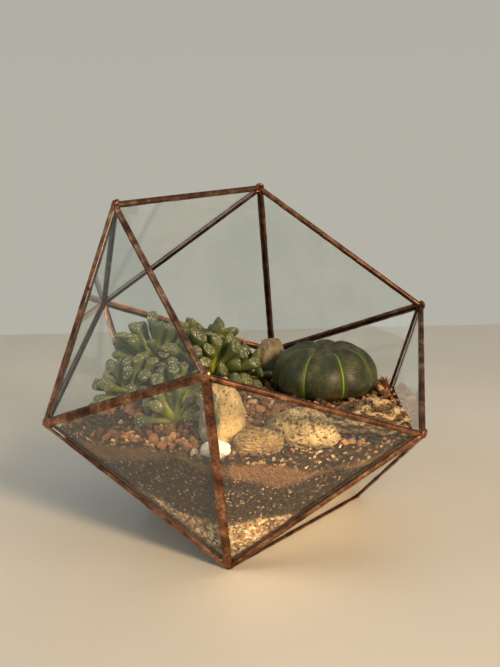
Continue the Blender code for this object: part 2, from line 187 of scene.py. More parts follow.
# %% [markdown]
# The stage is a pale painted table top that ends half a metre behind the object. A warm low key light
# comes from the front right and two cooler soft ones from the left and from above, as in a bright
# room with the sun low. The world is pale at eye level and darker overhead. The stage is not part
# of the object.

# %% Stage and light
TABLE_HALF = 2.0            # half the side of the table top, in metres
TABLE_BEHIND = 0.52         # from the middle of the body to the table's far edge

# Name, azimuth and elevation in degrees, distance and side in metres, colour and watts
LAMPS = (
    ("warm_key", -20, 24, 1.5, 0.3, "FFDCAE", 25),
    ("cool_side", -130, 40, 1.6, 1.2, "E2E8EC", 5.5),
    ("overhead", 60, 75, 1.8, 1.4, "EEF2F4", 4.5),
)


def table_paint():
    """Eggshell paint: pale and slightly glossy, so it holds a soft reflection."""
    material, shader, place = begin("eggshell_table_paint", 0.42)
    cloud = add(material, "ShaderNodeTexNoise", {"Vector": place, "Scale": per_metre(180)})
    tone = add(material, "ShaderNodeValToRGB", {"Fac": cloud.outputs["Fac"]},
               stops=[(0.3, "DAD5CA"), (0.7, "E2DED4")])
    wire(material, shader, Base_Color=tone.outputs["Color"])
    return material


def make_stage():
    mesh = bpy.data.meshes.new("table_top")
    sheet = bmesh.new()
    bmesh.ops.create_grid(sheet, x_segments=1, y_segments=1, size=TABLE_HALF)
    shift = Matrix.Translation((0, TABLE_BEHIND - TABLE_HALF, 0))
    bmesh.ops.transform(sheet, verts=sheet.verts, matrix=Matrix.Rotation(VIEW_AZIMUTH, 4, "Z") @ shift)
    sheet.to_mesh(mesh)
    sheet.free()
    mesh.materials.append(table_paint())
    table = bpy.data.objects.new("table_top", mesh)
    bpy.context.scene.collection.objects.link(table)


def make_lamp(name, azimuth, elevation, distance, size, colour, watts):
    """A square soft box that looks at the middle of the body."""
    data = bpy.data.lights.new(name, "AREA")
    data.size = size
    data.energy = watts
    data.color = linear(colour)[:3]
    lamp = bpy.data.objects.new(name, data)
    flat = math.cos(math.radians(elevation))
    towards = Vector((math.sin(math.radians(azimuth)) * flat,
                      -math.cos(math.radians(azimuth)) * flat,
                      math.sin(math.radians(elevation))))
    lamp.location = CENTRE + towards * distance
    lamp.rotation_euler = towards.to_track_quat("Z", "Y").to_euler()
    bpy.context.scene.collection.objects.link(lamp)


def make_light():
    for lamp in LAMPS:
        make_lamp(*lamp)
    world = bpy.data.worlds.new("pale_room")
    bpy.context.scene.world = world
    world.use_nodes = True
    background = world.node_tree.nodes["Background"]
    direction = add(world, "ShaderNodeTexCoord").outputs["Generated"]
    level = add(world, "ShaderNodeSeparateXYZ", {"Vector": direction}).outputs["Z"]
    tone = add(world, "ShaderNodeValToRGB", {"Fac": level},
               stops=[(0.0, "B4B2A6"), (0.25, "ABACA6"), (0.6, "727677"), (1.0, "5E6264")])
    world.node_tree.links.new(tone.outputs["Color"], background.inputs["Color"])


make_stage()
make_light()
bpy.context.scene.view_settings.view_transform = "Standard"

# %% [markdown]
# Every piece is modelled in a bmesh and becomes an object at the origin, with its place in its mesh.
# It then rides on the body, hides the model's nodes that it stands for and takes a material slot.

# %% Helpers for pieces

def finish_piece(name, shape, material, replaced=(), smooth=True):
    """Turn a bmesh into a piece that stands for some of the model's nodes."""
    mesh = bpy.data.meshes.new(name)
    shape.to_mesh(mesh)
    shape.free()
    mesh.materials.append(material)
    if smooth:
        mesh.shade_smooth()
    piece = bpy.data.objects.new(name, mesh)
    bpy.context.scene.collection.objects.link(piece)
    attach(piece, "root")
    if replaced:
        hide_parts(*replaced)
    print(name, "faces:", len(mesh.polygons))
    return piece


def cut(shape, point, outward):
    """Remove what lies past a plane and close the cut."""
    everything = shape.verts[:] + shape.edges[:] + shape.faces[:]
    bmesh.ops.bisect_plane(
        shape, geom=everything, dist=1e-7, plane_co=point, plane_no=outward, clear_outer=True)
    rim = [edge for edge in shape.edges if edge.is_boundary]
    if rim:
        bmesh.ops.holes_fill(shape, edges=rim)


def clamp(value):
    return max(0.0, min(1.0, value))


def ripple(point, millimetres, seed=0):
    """Smooth noise from -1 to 1 with features of this size."""
    return noise.noise(point / (millimetres * MM) + Vector((seed * 7.3, seed * 3.1, seed * 5.7)))


# %% [markdown]
# Solder runs as a bead along every fold, outside and in, and round the free edges of the mouth. It is
# laid over copper foil and then stained with a copper patina. The stain gives a brown skin that is
# rubbed back to bright copper in spots, and the part of each bead inside the body is coloured darker.
# The bead is never quite even, so its mesh is given many rings and small swells.

# %% Copper patina

def copper_patina():
    """Patinated solder: brown oxide in patches, bright rubbed spots and a darker inside."""
    material, shader, place = begin("copper_patina_on_solder", 0.4, metallic=1.0)
    patch = add(material, "ShaderNodeTexNoise", {"Vector": place, "Scale": per_metre(9), "Detail": 4.0})
    fleck = add(material, "ShaderNodeTexNoise", {"Vector": place, "Scale": per_metre(1.6), "Detail": 3.0})
    both = add(material, "ShaderNodeMix", {0: 0.3, 2: patch.outputs["Fac"], 3: fleck.outputs["Fac"]})
    tone = add(material, "ShaderNodeValToRGB", {"Fac": both.outputs[0]},
               stops=[(0.34, "462C24"), (0.46, "6C4938"), (0.56, "976A4C"), (0.68, "C99F82")])
    inner = add(material, "ShaderNodeAttribute", attribute_name="inner").outputs["Fac"]
    dulled = add(material, "ShaderNodeMath", {0: inner, 1: 0.65}, operation="MULTIPLY")
    skin = add(material, "ShaderNodeMix", {"Factor": dulled.outputs[0], 6: tone.outputs["Color"],
                                           7: "2E1F17"}, data_type="RGBA")
    gloss = add(material, "ShaderNodeMapRange", {"Value": both.outputs[0], "From Min": 0.35,
                                                 "From Max": 0.65, "To Min": 0.48, "To Max": 0.28})
    grain = add(material, "ShaderNodeBump", {"Height": both.outputs[0], "Strength": 0.3,
                                             "Distance": 0.25 * MM})
    wire(material, shader, Base_Color=skin.outputs[2], Roughness=gloss.outputs["Result"],
         Normal=grain.outputs["Normal"])
    return material


# %% [markdown]
# Each bead starts as its cross-section: an H that grips two panes, or a U round one pane. The section
# is extruded along the fold, cut across into rings, mitred at both corners and then swelled a little.

# %% Bead sections
GROOVE = PANE_INSET - GAP   # from the fold line to the bottom of a bead's groove
LAP = 2.4 * MM              # from the fold line to the edge of the foil
FOIL = 0.3 * MM             # thickness of a bead at the edge of the foil
CROWN = 0.9 * MM            # height of the outside bead over the fold line
BEAD = 3.8 * MM             # depth of the inside bead under the fold line
ROUND_STEPS = 12            # straight pieces in the round of a bead
RINGS = 56                  # cuts across a bead


def fold_point(along, depth):
    """Sideways and outward place of a point over a pane, counted from the fold line."""
    side = along * math.sin(HALF_FOLD) - depth * math.cos(HALF_FOLD)
    outward = -along * math.cos(HALF_FOLD) - depth * math.sin(HALF_FOLD)
    return Vector((side, outward))


def arc(edge, peak):
    """A flat arc from an edge point over the peak to the edge's mirror point."""
    rise = peak - edge.y
    radius = (edge.x ** 2 + rise ** 2) / (2 * rise)
    sweep = math.asin(edge.x / radius)
    angles = [sweep * (1 - 2 * step / ROUND_STEPS) for step in range(ROUND_STEPS + 1)]
    return [Vector((radius * math.sin(a), peak - radius + radius * math.cos(a))) for a in angles]


def seam_section():
    """An H: an outside and an inside bead, joined by a web between the two panes."""
    slot = [fold_point(LAP, -GAP), fold_point(GROOVE, -GAP)]
    slot += [fold_point(GROOVE, GLASS + GAP), fold_point(LAP, GLASS + GAP)]
    outside = arc(fold_point(LAP, -GAP - FOIL), CROWN)
    inside = arc(fold_point(LAP, GLASS + GAP + FOIL), -BEAD)
    return outside + [Vector((-p.x, p.y)) for p in slot] + inside[::-1] + slot[::-1]


def rim_section():
    """A U round the edge of one pane, as distances along the pane and into it."""
    nose = GLASS / 2 + GAP + FOIL
    points = [Vector((LAP, -GAP)), Vector((LAP, -GAP - FOIL))]
    for step in range(ROUND_STEPS + 1):
        angle = math.pi * step / ROUND_STEPS
        points.append(Vector((GROOVE - nose * math.sin(angle), GLASS / 2 - nose * math.cos(angle))))
    points += [Vector((LAP, GLASS + GAP + FOIL)), Vector((LAP, GLASS + GAP))]
    return points + [Vector((GROOVE, GLASS + GAP)), Vector((GROOVE, -GAP))]


# %% Beads along the folds
FIFTH = math.radians(72)    # turn from one fold of a corner to the next
SAME_LENGTH = 1.01          # two lengths with a smaller ratio count as equal
SAME_WAY = 0.99             # cosine from which two directions count as one
NEAR_TABLE = EDGE / 10      # a corner lower than this is a foot
SWELLS = ((0.16, 6), (0.08, 2.5))     # heights and spacings of the swells in millimetres
PANES = [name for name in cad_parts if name.startswith("pane_")]


def pane_corners(name):
    """The three corners of the body that lie nearest to the middle of a pane."""
    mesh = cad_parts[name].data
    middle = sum((vert.co for vert in mesh.vertices), Vector()) / len(mesh.vertices)
    return sorted(CORNERS, key=lambda corner_name: (CORNERS[corner_name] - middle).length)[:3]


PANE_CORNERS = {name: pane_corners(name) for name in PANES}


def outward_normal(corner_names):
    first, second, third = (CORNERS[name] for name in corner_names)
    normal = (second - first).cross(third - first).normalized()
    return normal if normal.dot(first - CENTRE) > 0 else -normal


def into_pane(ends, corner_names):
    """Direction from a fold line into a pane, square to the fold."""
    middle = sum((CORNERS[name] for name in corner_names), Vector()) / 3
    along = (ends[1] - ends[0]).normalized()
    inward = middle - ends[0]
    return (inward - along * inward.dot(along)).normalized()


def mitre(bead, end, other_end):
    """Cut one end of a bead so that it meets the other beads of that corner."""
    axis = (end - CENTRE).normalized()
    along = other_end - end
    flat = (along - axis * along.dot(axis)).normalized()
    to_opening = OPEN_CORNER - end
    opening = (to_opening - axis * to_opening.dot(axis)).normalized()
    on_mouth = to_opening.length < EDGE * SAME_LENGTH
    for side in (1, -1):
        neighbour = Matrix.Rotation(side * FIFTH, 3, axis) @ flat
        beside_opening = on_mouth and neighbour.dot(opening) > SAME_WAY
        border_turn = FIFTH if beside_opening else FIFTH / 2
        border = Matrix.Rotation(side * border_turn, 3, axis) @ flat
        cut(bead, end, axis.cross(border) * side)


def swell(bead, ends, seed):
    """Push the bead in and out a little, as molten solder settles."""
    along = (ends[1] - ends[0]).normalized()
    for vert in bead.verts:
        foot = ends[0] + along * (vert.co - ends[0]).dot(along)
        lump = SWELLS[0][0] * ripple(foot, SWELLS[0][1], seed)
        lump += SWELLS[1][0] * ripple(vert.co, SWELLS[1][1], seed + 1)
        outward = vert.co - foot
        if outward.length > 0.2 * MM:
            vert.co += outward.normalized() * lump * MM


def mark_inside(bead, start, out_axis):
    """Mark the part of a bead under the glass, which the material colours darker."""
    inner_layer = bead.verts.layers.float.new("inner")
    for vert in bead.verts:
        vert[inner_layer] = clamp((start - vert.co).dot(out_axis) / GLASS)


def make_bead(first, second, panes, material, seed):
    """One bead, extruded along its fold, cut into rings, mitred and swelled."""
    start, end = CORNERS[first], CORNERS[second]
    into = [into_pane((start, end), PANE_CORNERS[pane]) for pane in panes]
    if len(panes) == 2:
        side_axis = (into[0] - into[1]).normalized()
        out_axis = -(into[0] + into[1]).normalized()
        section, kind = seam_section(), "seam"
    else:
        side_axis = into[0]
        out_axis = -outward_normal(PANE_CORNERS[panes[0]])
        section, kind = rim_section(), "rim"
    overshoot = (end - start).normalized() * LAP
    bead = bmesh.new()
    outline = [start - overshoot + side_axis * p.x + out_axis * p.y for p in section]
    face = bead.faces.new([bead.verts.new(point) for point in outline])
    extruded = bmesh.ops.extrude_face_region(bead, geom=[face])["geom"]
    far_side = [item for item in extruded if isinstance(item, bmesh.types.BMVert)]
    bmesh.ops.translate(bead, verts=far_side, vec=end - start + overshoot * 2)
    bmesh.ops.recalc_face_normals(bead, faces=bead.faces)
    long_edges = [edge for edge in bead.edges if edge.calc_length() > EDGE / 2]
    bmesh.ops.subdivide_edges(bead, edges=long_edges, cuts=RINGS, use_grid_fill=True)
    mitre(bead, start, end)
    mitre(bead, end, start)
    swell(bead, (start, end), seed)
    if min(start.z, end.z) < NEAR_TABLE:
        cut(bead, Vector((0, 0, 0)), Vector((0, 0, -1)))
    mark_inside(bead, start, out_axis)
    node = f"{kind}_{first}_{second}"
    return finish_piece(f"solder_{first}_{second}", bead, material, [node])


def fold_lines():
    """Every pair of corners that a pane joins, with the panes on it."""
    lines = {}
    order = list(CORNERS)
    for pane, corner_names in PANE_CORNERS.items():
        for first in corner_names:
            for second in corner_names:
                if order.index(first) < order.index(second):
                    lines.setdefault((first, second), []).append(pane)
    return lines


patina = copper_patina()
FOLDS = fold_lines()
for number, ((first, second), panes) in enumerate(sorted(FOLDS.items())):
    make_bead(first, second, panes, patina, number)

# %% [markdown]
# Where beads meet, the maker leaves a drop of solder that rounds off the corner. Each drop is a
# slightly flattened ball, and those of the three feet are flat underneath where the body stands.

# %% Solder drops on the corners
DROP_RADIUS = 2.7 * MM
DROP_PRESS = 0.5            # how much of a drop's height is pressed away
DROP_SINK = 0.8 * MM        # how deep its middle lies inside the corner


def make_drop(name, place, material, seed):
    """The drop of solder on one corner of the body."""
    drop = bmesh.new()
    bmesh.ops.create_icosphere(drop, subdivisions=5, radius=DROP_RADIUS)
    outward = (place - CENTRE).normalized()
    for vert in drop.verts:
        height = vert.co.dot(outward)
        vert.co -= outward * height * DROP_PRESS
        vert.co *= 1 + 0.06 * ripple(vert.co, 2, seed)
        vert.co += place - outward * DROP_SINK
    if place.z < NEAR_TABLE:
        cut(drop, Vector((0, 0, 0)), Vector((0, 0, -1)))
    return finish_piece(f"solder_drop_{name}", drop, material)


for number, (name, place) in enumerate(CORNERS.items()):
    make_drop(name, place, patina, number)

# %% [markdown]
# The panes are clear float glass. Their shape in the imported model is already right, so they stay and
# only get a finish: a very smooth, slightly green glass with faint water marks. Glass casts no shadow
# here, so that daylight reaches the plants as it does through a real window pane.

# %% Glass

def float_glass():
    """Float glass: polished on both sides, with a faint green body and old splash marks."""
    material, shader, place = begin("clear_float_glass", 0.015)
    shader.inputs["Transmission Weight"].default_value = 1
    shader.inputs["IOR"].default_value = 1.5
    marks = add(material, "ShaderNodeTexNoise", {"Vector": place, "Scale": per_metre(35), "Detail": 5.0})
    tone = add(material, "ShaderNodeValToRGB", {"Fac": marks.outputs["Fac"]},
               stops=[(0.35, "F1F6F3"), (0.6, "FBFDFC")])
    wire(material, shader, Base_Color=tone.outputs["Color"])
    return material


glass = float_glass()
for name in PANES:
    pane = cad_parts[name]
    pane.data.materials.clear()
    pane.data.materials.append(glass)
    pane.visible_shadow = False
print("panes:", len(PANES))

# %% [markdown]
# Inside the bowl lie the layers: drainage grit, dark potting mix, a band of brown sand and a mixed
# top layer. They were poured by hand, so the borders rise and dip behind the glass. One function says
# which layer a spot belongs to, and the beds and all the loose grains ask it.

# %% Walls and layers
LAYER_NODES = ("drainage_grit", "lower_soil", "sand_band", "upper_soil")
GRIT_TOP, SOIL_TOP, SAND_TOP, MIX_TOP = (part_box(node)[1].z + GAP for node in LAYER_NODES)
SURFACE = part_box("gravel_top")[1].z - 0.8 * MM
WALL_CLEAR = GLASS + GAP    # from the outside of the glass to the soil
BEAD_CLEAR = BEAD + 2 * GAP
GRIT, SOIL, SAND, MIX = range(4)

# Upper border of the three lower layers: its height in the model, its rise in millimetres, and humps
# with their height in millimetres, azimuth and width in degrees
BORDERS = (
    (GRIT_TOP, 1, ((11, 172, 14),)),
    (SOIL_TOP, 2, ((9, 194, 15), (-7, 231, 12))),
    (SAND_TOP, 3, ((4.5, 188, 18), (-9, 246, 13))),
)
BLEND = 2.4 * MM            # height over which one layer turns into the next
SLUMPS = ((1.6, 22, 1), (1.2, 7, 2), (0.8, 2.5, 3))   # height, spacing and seed of the waves


def make_walls():
    """Each pane and fold as an outward direction and how far the soil may go along it."""
    walls = []
    for corner_names in PANE_CORNERS.values():
        outward = outward_normal(corner_names)
        walls.append((outward, CORNERS[corner_names[0]].dot(outward) - WALL_CLEAR))
    for (first, _), panes in FOLDS.items():
        if len(panes) == 2:
            outward = sum((outward_normal(PANE_CORNERS[pane]) for pane in panes), Vector()).normalized()
            walls.append((outward, CORNERS[first].dot(outward) - BEAD_CLEAR))
    return walls


WALLS = make_walls()


def room(point):
    """How deep a place lies inside the walls."""
    return min(limit - point.dot(outward) for outward, limit in WALLS)


def keep_inside(point, depth):
    """The place, moved in where it is less than this deep inside the walls."""
    for outward, limit in WALLS:
        over = point.dot(outward) - limit + depth
        if over > 0:
            point = point - outward * over
    return point


def hump(azimuth, middle, width):
    """A smooth rise from 0 to 1 and back round an azimuth."""
    return math.exp(-((azimuth - middle) / width) ** 2)


def layer_at(point):
    """0 in the grit, 1 in the dark soil, 2 in the sand, 3 in the mix, and between them at a border."""
    azimuth = math.degrees(math.atan2(point.y, point.x)) % 360
    slump = sum(height * ripple(point, spacing, seed) for height, spacing, seed in SLUMPS) * MM
    value = 0.0
    for top, rise, humps in BORDERS:
        border = top + (rise + sum(height * hump(azimuth, *where) for height, *where in humps)) * MM
        value += clamp((point.z + slump - border) / BLEND + 0.5)
    return value


print("layer borders in mm:", [round(top / MM, 1) for top in (GRIT_TOP, SOIL_TOP, SAND_TOP, MIX_TOP)])

# %% [markdown]
# Potting mix is a crowd of crumbs far smaller than the eye can part from here, so the beds take
# their finest grain from a cell pattern: every cell gets its own tone, dark in the soil, tan and white
# in the grit. The cells are drawn a little coarser than real crumbs so that they show.

# %% Bed material

def layered_earth():
    """Four loose earths in one material, told apart by the attribute called layer. A fifth step is
    dark soil again, for the bare patch on the open ground."""
    material, shader, place = begin("layered_earth", 0.95)
    shader.inputs["Specular IOR Level"].default_value = 0.25
    layer = add(material, "ShaderNodeAttribute", attribute_name="layer").outputs["Fac"]
    cells = add(material, "ShaderNodeTexVoronoi", {"Vector": place, "Scale": per_metre(1.5)})
    crumbs = add(material, "ShaderNodeTexVoronoi", {"Vector": place, "Scale": per_metre(0.95)})
    cloud = add(material, "ShaderNodeTexNoise", {"Vector": place, "Scale": per_metre(11), "Detail": 5.0})
    fine = add(material, "ShaderNodeTexNoise", {"Vector": place, "Scale": per_metre(0.7), "Detail": 2.0})
    pick = add(material, "ShaderNodeSeparateColor", {"Color": cells.outputs["Color"]}).outputs["Red"]
    small = add(material, "ShaderNodeSeparateColor", {"Color": crumbs.outputs["Color"]}).outputs["Green"]
    grit = add(material, "ShaderNodeValToRGB", {"Fac": pick}, stops=[
        (0.0, "4A3A2A"), (0.25, "86684A"), (0.5, "B08E64"), (0.72, "D6BC92"),
        (0.88, "F0E4CC"), (1.0, "9C5A3C")])
    soil = add(material, "ShaderNodeValToRGB", {"Fac": small}, stops=[
        (0.0, "0C0907"), (0.45, "1F1610"), (0.8, "3A2A1D"), (0.93, "5E4932"), (1.0, "BFA77E")])
    sand = add(material, "ShaderNodeValToRGB", {"Fac": fine.outputs["Fac"]},
               stops=[(0.35, "4B3625"), (0.5, "694D35"), (0.65, "8D6D4D")])
    mix = add(material, "ShaderNodeValToRGB", {"Fac": pick}, stops=[
        (0.0, "17110D"), (0.5, "2C2118"), (0.78, "513B29"), (0.9, "87684A"),
        (0.97, "CDB78E"), (1.0, "8A4E34")])
    tone = grit.outputs["Color"]
    for number, upper in enumerate((soil, sand, mix, soil)):
        above = add(material, "ShaderNodeMapRange", {"Value": layer, "From Min": float(number),
                                                     "From Max": float(number + 1)})
        tone = add(material, "ShaderNodeMix", {"Factor": above.outputs["Result"], 6: tone,
                                               7: upper.outputs["Color"]}, data_type="RGBA").outputs[2]
    shade = add(material, "ShaderNodeMapRange", {"Value": cloud.outputs["Fac"], "From Min": 0.3,
                                                 "From Max": 0.7, "To Min": 0.65, "To Max": 1.2})
    shaded = add(material, "ShaderNodeMix", {"Factor": 1.0, 6: tone, 7: shade.outputs["Result"]},
                 data_type="RGBA", blend_type="MULTIPLY")
    relief = add(material, "ShaderNodeBump", {"Height": crumbs.outputs["Distance"], "Strength": 0.8,
                                              "Distance": 0.6 * MM})
    wire(material, shader, Base_Color=shaded.outputs[2], Normal=relief.outputs["Normal"])
    return material


# %% [markdown]
# Each bed is cut out of a cube by the planes of the glass, then sliced into small faces by level
# planes and by planes through the middle axis, so that its wall can be made lumpy.

# %% Beds of earth
CRUMB_GRID = 1.6 * MM       # spacing of the slices
WALL_DENT = 0.6 * MM        # mean depth of the dents in a bed's wall


def bowl_block(low, high):
    """The room inside the bowl between two heights."""
    block = bmesh.new()
    bmesh.ops.create_cube(block, size=4 * EDGE)
    for outward, limit in WALLS:
        cut(block, outward * limit, outward)
    cut(block, Vector((0, 0, low)), Vector((0, 0, -1)))
    cut(block, Vector((0, 0, high)), Vector((0, 0, 1)))
    return block


def slice_block(block, point, direction):
    """Cut the faces of a block along a plane and keep both sides."""
    everything = block.verts[:] + block.edges[:] + block.faces[:]
    bmesh.ops.bisect_plane(block, geom=everything, dist=1e-6, plane_co=point, plane_no=direction)


def roughen(block, depth, size, seed):
    """Push the wall in by an uneven amount and note the layer of every vertex."""
    layer = block.verts.layers.float.new("layer")
    for vert in block.verts:
        inward = depth * (0.55 + 0.9 * ripple(vert.co, size, seed))
        vert.co = keep_inside(vert.co, max(inward, 0.05 * MM))
        vert[layer] = layer_at(vert.co)


def make_bed(name, low, high, node, material, seed):
    """One layer of earth with a lumpy wall behind the glass."""
    bed = bowl_block(low, high)
    levels = round((high - low) / CRUMB_GRID)
    for level in range(1, levels):
        slice_block(bed, Vector((0, 0, low + (high - low) * level / levels)), Vector((0, 0, 1)))
    spokes = round(math.pi * WIDE / CRUMB_GRID)
    for spoke in range(spokes):
        angle = math.pi * spoke / spokes
        slice_block(bed, Vector((0, 0, low)), Vector((math.cos(angle), math.sin(angle), 0)))
    roughen(bed, WALL_DENT, 1.7, seed)
    return finish_piece(name, bed, material, [node], smooth=False)


earth = layered_earth()
make_bed("grit_bed", LIFT + WALL_CLEAR, GRIT_TOP, "drainage_grit", earth, 1)
make_bed("dark_soil_bed", GRIT_TOP, SOIL_TOP, "lower_soil", earth, 2)
make_bed("sand_bed", SOIL_TOP, SAND_TOP, "sand_band", earth, 3)
make_bed("mixed_bed", SAND_TOP, MIX_TOP, "upper_soil", earth, 4)

# %% [markdown]
# The top of the planting is open ground: lumpy, a little lower at the glass, with a bare dark patch
# at the left where no gravel fell. It gets a square grid, and stones and plants stand on it.

# %% Open ground
BARE_PATCH = Vector((-76, 42, 0)) * MM
BARE_REACH = 19 * MM
EDGE_DROP = 2.6             # fall of the ground at the glass, in millimetres
DROP_REACH = 8 * MM
WALL_LEVELS = 5             # slices of the ground's wall


def ground_height(x, y):
    """Height of the bare soil at a place."""
    flat = Vector((x, y, SURFACE))
    edge_drop = EDGE_DROP * math.exp(-max(room(flat), 0) / DROP_REACH)
    lumps = 0.8 * ripple(flat, 16, 5) + 0.7 * ripple(flat, 6, 6) + 0.35 * ripple(flat, 2.4, 7)
    return SURFACE + (lumps - edge_drop - 0.4) * MM


def bareness(x, y):
    """1 on the bare patch, falling to 0 round it."""
    away = (Vector((x, y, 0)) - BARE_PATCH).length
    return math.exp(-(away / BARE_REACH) ** 4)


def make_ground(material):
    """The open top of the planting, on a square grid."""
    block = bowl_block(MIX_TOP, SURFACE)
    for level in range(1, WALL_LEVELS):
        height = MIX_TOP + (SURFACE - MIX_TOP) * level / WALL_LEVELS
        slice_block(block, Vector((0, 0, height)), Vector((0, 0, 1)))
    steps = int(WIDE / CRUMB_GRID)
    for step in range(-steps, steps + 1):
        for axis in (Vector((1, 0, 0)), Vector((0, 1, 0))):
            slice_block(block, axis * step * CRUMB_GRID, axis)
    layer = block.verts.layers.float.new("layer")
    for vert in block.verts:
        vert[layer] = layer_at(vert.co)
        if vert.co.z > SURFACE - GAP:
            vert[layer] = MIX + bareness(vert.co.x, vert.co.y)
            vert.co.z = ground_height(vert.co.x, vert.co.y)
            vert.co = keep_inside(vert.co, 0.3 * MM)
    return finish_piece("open_ground", block, material, ["gravel_top"], smooth=False)


make_ground(earth)

# %% [markdown]
# Loose grains come next: crumbs, sand specks, grit and chips of burnt clay. All of them share one
# material, which reads the tone that each grain was given. A grain is a ball of a few faces that is
# squashed, turned and dented, and a chip is a finer ball with flats broken off it.

# %% Grain material
# Stretch of the tone scale that each kind of grain takes
TONES = {
    "crumb": (0.0, 0.15),
    "brown": (0.2, 0.38),
    "tan": (0.42, 0.58),
    "pale": (0.6, 0.76),
    "red": (0.84, 1.0),
}


def mineral_grains():
    """Soil crumbs, stone grains and burnt clay: dull, dusty, each in its own tone."""
    material, shader, place = begin("loose_mineral_grains", 0.88)
    shader.inputs["Specular IOR Level"].default_value = 0.3
    tone = add(material, "ShaderNodeAttribute", attribute_name="tone").outputs["Fac"]
    colour = add(material, "ShaderNodeValToRGB", {"Fac": tone}, stops=[
        (0.0, "0F0B08"), (0.15, "281D14"), (0.3, "604631"), (0.42, "967450"), (0.55, "BF9D70"),
        (0.68, "E2CFAC"), (0.76, "F4EEE0"), (0.82, "5C3F2D"), (0.9, "85573D"), (1.0, "AA7857")])
    dust = add(material, "ShaderNodeTexNoise", {"Vector": place, "Scale": per_metre(1.1), "Detail": 4.0})
    shade = add(material, "ShaderNodeMapRange", {"Value": dust.outputs["Fac"], "From Min": 0.3,
                                                 "From Max": 0.7, "To Min": 0.7, "To Max": 1.25})
    dusty = add(material, "ShaderNodeMix", {"Factor": 1.0, 6: colour.outputs["Color"],
                                            7: shade.outputs["Result"]},
                data_type="RGBA", blend_type="MULTIPLY")
    pores = add(material, "ShaderNodeBump", {"Height": dust.outputs["Fac"], "Strength": 0.6,
                                             "Distance": 0.4 * MM})
    wire(material, shader, Base_Color=dusty.outputs[2], Normal=pores.outputs["Normal"])
    return material


# %% Grain shapes
BATCH = 150                 # grains that are built together
CHIP_FLATS = 7


def pick_tone(draw, shares):
    """A tone for one grain, from the shares of the kinds of grain."""
    kinds = list(shares)
    low, high = TONES[draw.choices(kinds, [shares[kind] for kind in kinds])[0]]
    return draw.uniform(low, high)


def any_turn(draw):
    axis = Vector([draw.gauss(0, 1) for _ in range(3)])
    return Matrix.Rotation(draw.uniform(0, math.tau), 4, axis)


def add_grain(shape, draw, place, size, tone, tone_layer, chip=False):
    """A dented ball, or a ball with flats broken off it."""
    squash = Matrix.Diagonal(
        (draw.uniform(0.8, 1.2), draw.uniform(0.75, 1.05), draw.uniform(0.5, 0.85), 1))
    made = bmesh.ops.create_icosphere(shape, subdivisions=2 if chip else 1, radius=1)["verts"]
    if chip:
        for _ in range(CHIP_FLATS):
            flat = Vector([draw.gauss(0, 1) for _ in range(3)]).normalized()
            depth = draw.uniform(0.5, 0.8)
            for vert in made:
                vert.co -= flat * max(vert.co.dot(flat) - depth, 0)
    else:
        for vert in made:
            vert.co *= draw.uniform(0.75, 1.15)
    stand = Matrix.Translation(place) @ any_turn(draw) @ Matrix.Scale(size, 4) @ squash
    bmesh.ops.transform(shape, verts=made, matrix=stand)
    for vert in made:
        vert[tone_layer] = tone


def make_grains(name, grains, material, seed, chip=False):
    """One piece from a list of places, sizes and tones, built in small batches for speed."""
    draw = random.Random(seed)
    whole = bmesh.new()
    whole.verts.layers.float.new("tone")
    carrier = bpy.data.meshes.new("batch")
    for start in range(0, len(grains), BATCH):
        batch = bmesh.new()
        tone_layer = batch.verts.layers.float.new("tone")
        for place, size, tone in grains[start:start + BATCH]:
            add_grain(batch, draw, place, size, tone, tone_layer, chip)
        batch.to_mesh(carrier)
        batch.free()
        whole.from_mesh(carrier)
    bpy.data.meshes.remove(carrier)
    return finish_piece(name, whole, material, smooth=False)


# %% [markdown]
# Grains against the glass are strewn evenly over each pane of the bowl. Each one lies just inside the
# glass and takes its size and tones from the layer it falls in.

# %% Grains behind the glass
# For each layer, radii in millimetres, shares of the kinds, and grains for each square millimetre
SIZES = {GRIT: (0.7, 1.5), SOIL: (0.35, 0.8), SAND: (0.35, 0.6), MIX: (0.6, 1.5)}
SHARES = {
    GRIT: {"tan": 0.4, "pale": 0.25, "brown": 0.22, "red": 0.08, "crumb": 0.05},
    SOIL: {"crumb": 0.85, "brown": 0.1, "tan": 0.02, "pale": 0.018, "red": 0.012},
    SAND: {"brown": 0.75, "tan": 0.2, "crumb": 0.05},
    MIX: {"crumb": 0.6, "brown": 0.2, "tan": 0.06, "pale": 0.05, "red": 0.09},
}
DENSITY = {GRIT: 0.2, SOIL: 0.17, SAND: 0.08, MIX: 0.18}
DENSEST = max(DENSITY.values())
BELOW_SURFACE = 1.5 * MM    # grains behind the glass end this far under the ground


def strew_on_pane(draw, corner_names, found):
    """Drop grains evenly over a pane. Two sorted draws spread evenly over a triangle."""
    first, second, third = (CORNERS[name] for name in corner_names)
    inward = -outward_normal(corner_names)
    area = (second - first).cross(third - first).length / 2 / MM ** 2
    for _ in range(int(area * DENSEST)):
        across, along = sorted((draw.random(), draw.random()))
        spot = first + (second - first) * along + (third - second) * across
        if spot.z > SURFACE - BELOW_SURFACE:
            continue
        layer = round(layer_at(spot))
        if draw.random() > DENSITY[layer] / DENSEST:
            continue
        low, high = SIZES[layer]
        size = (low + (high - low) * draw.random() ** 2) * MM
        place = spot + inward * (WALL_CLEAR + size * 1.25)
        if room(place) > size * 1.2:
            found[layer].append((place, size, pick_tone(draw, SHARES[layer])))


def strew_behind_glass():
    draw = random.Random(11)
    found = {layer: [] for layer in (GRIT, SOIL, SAND, MIX)}
    for corner_names in PANE_CORNERS.values():
        feet = [name for name in corner_names if name.startswith("foot")]
        if feet:
            strew_on_pane(draw, corner_names, found)
    return found


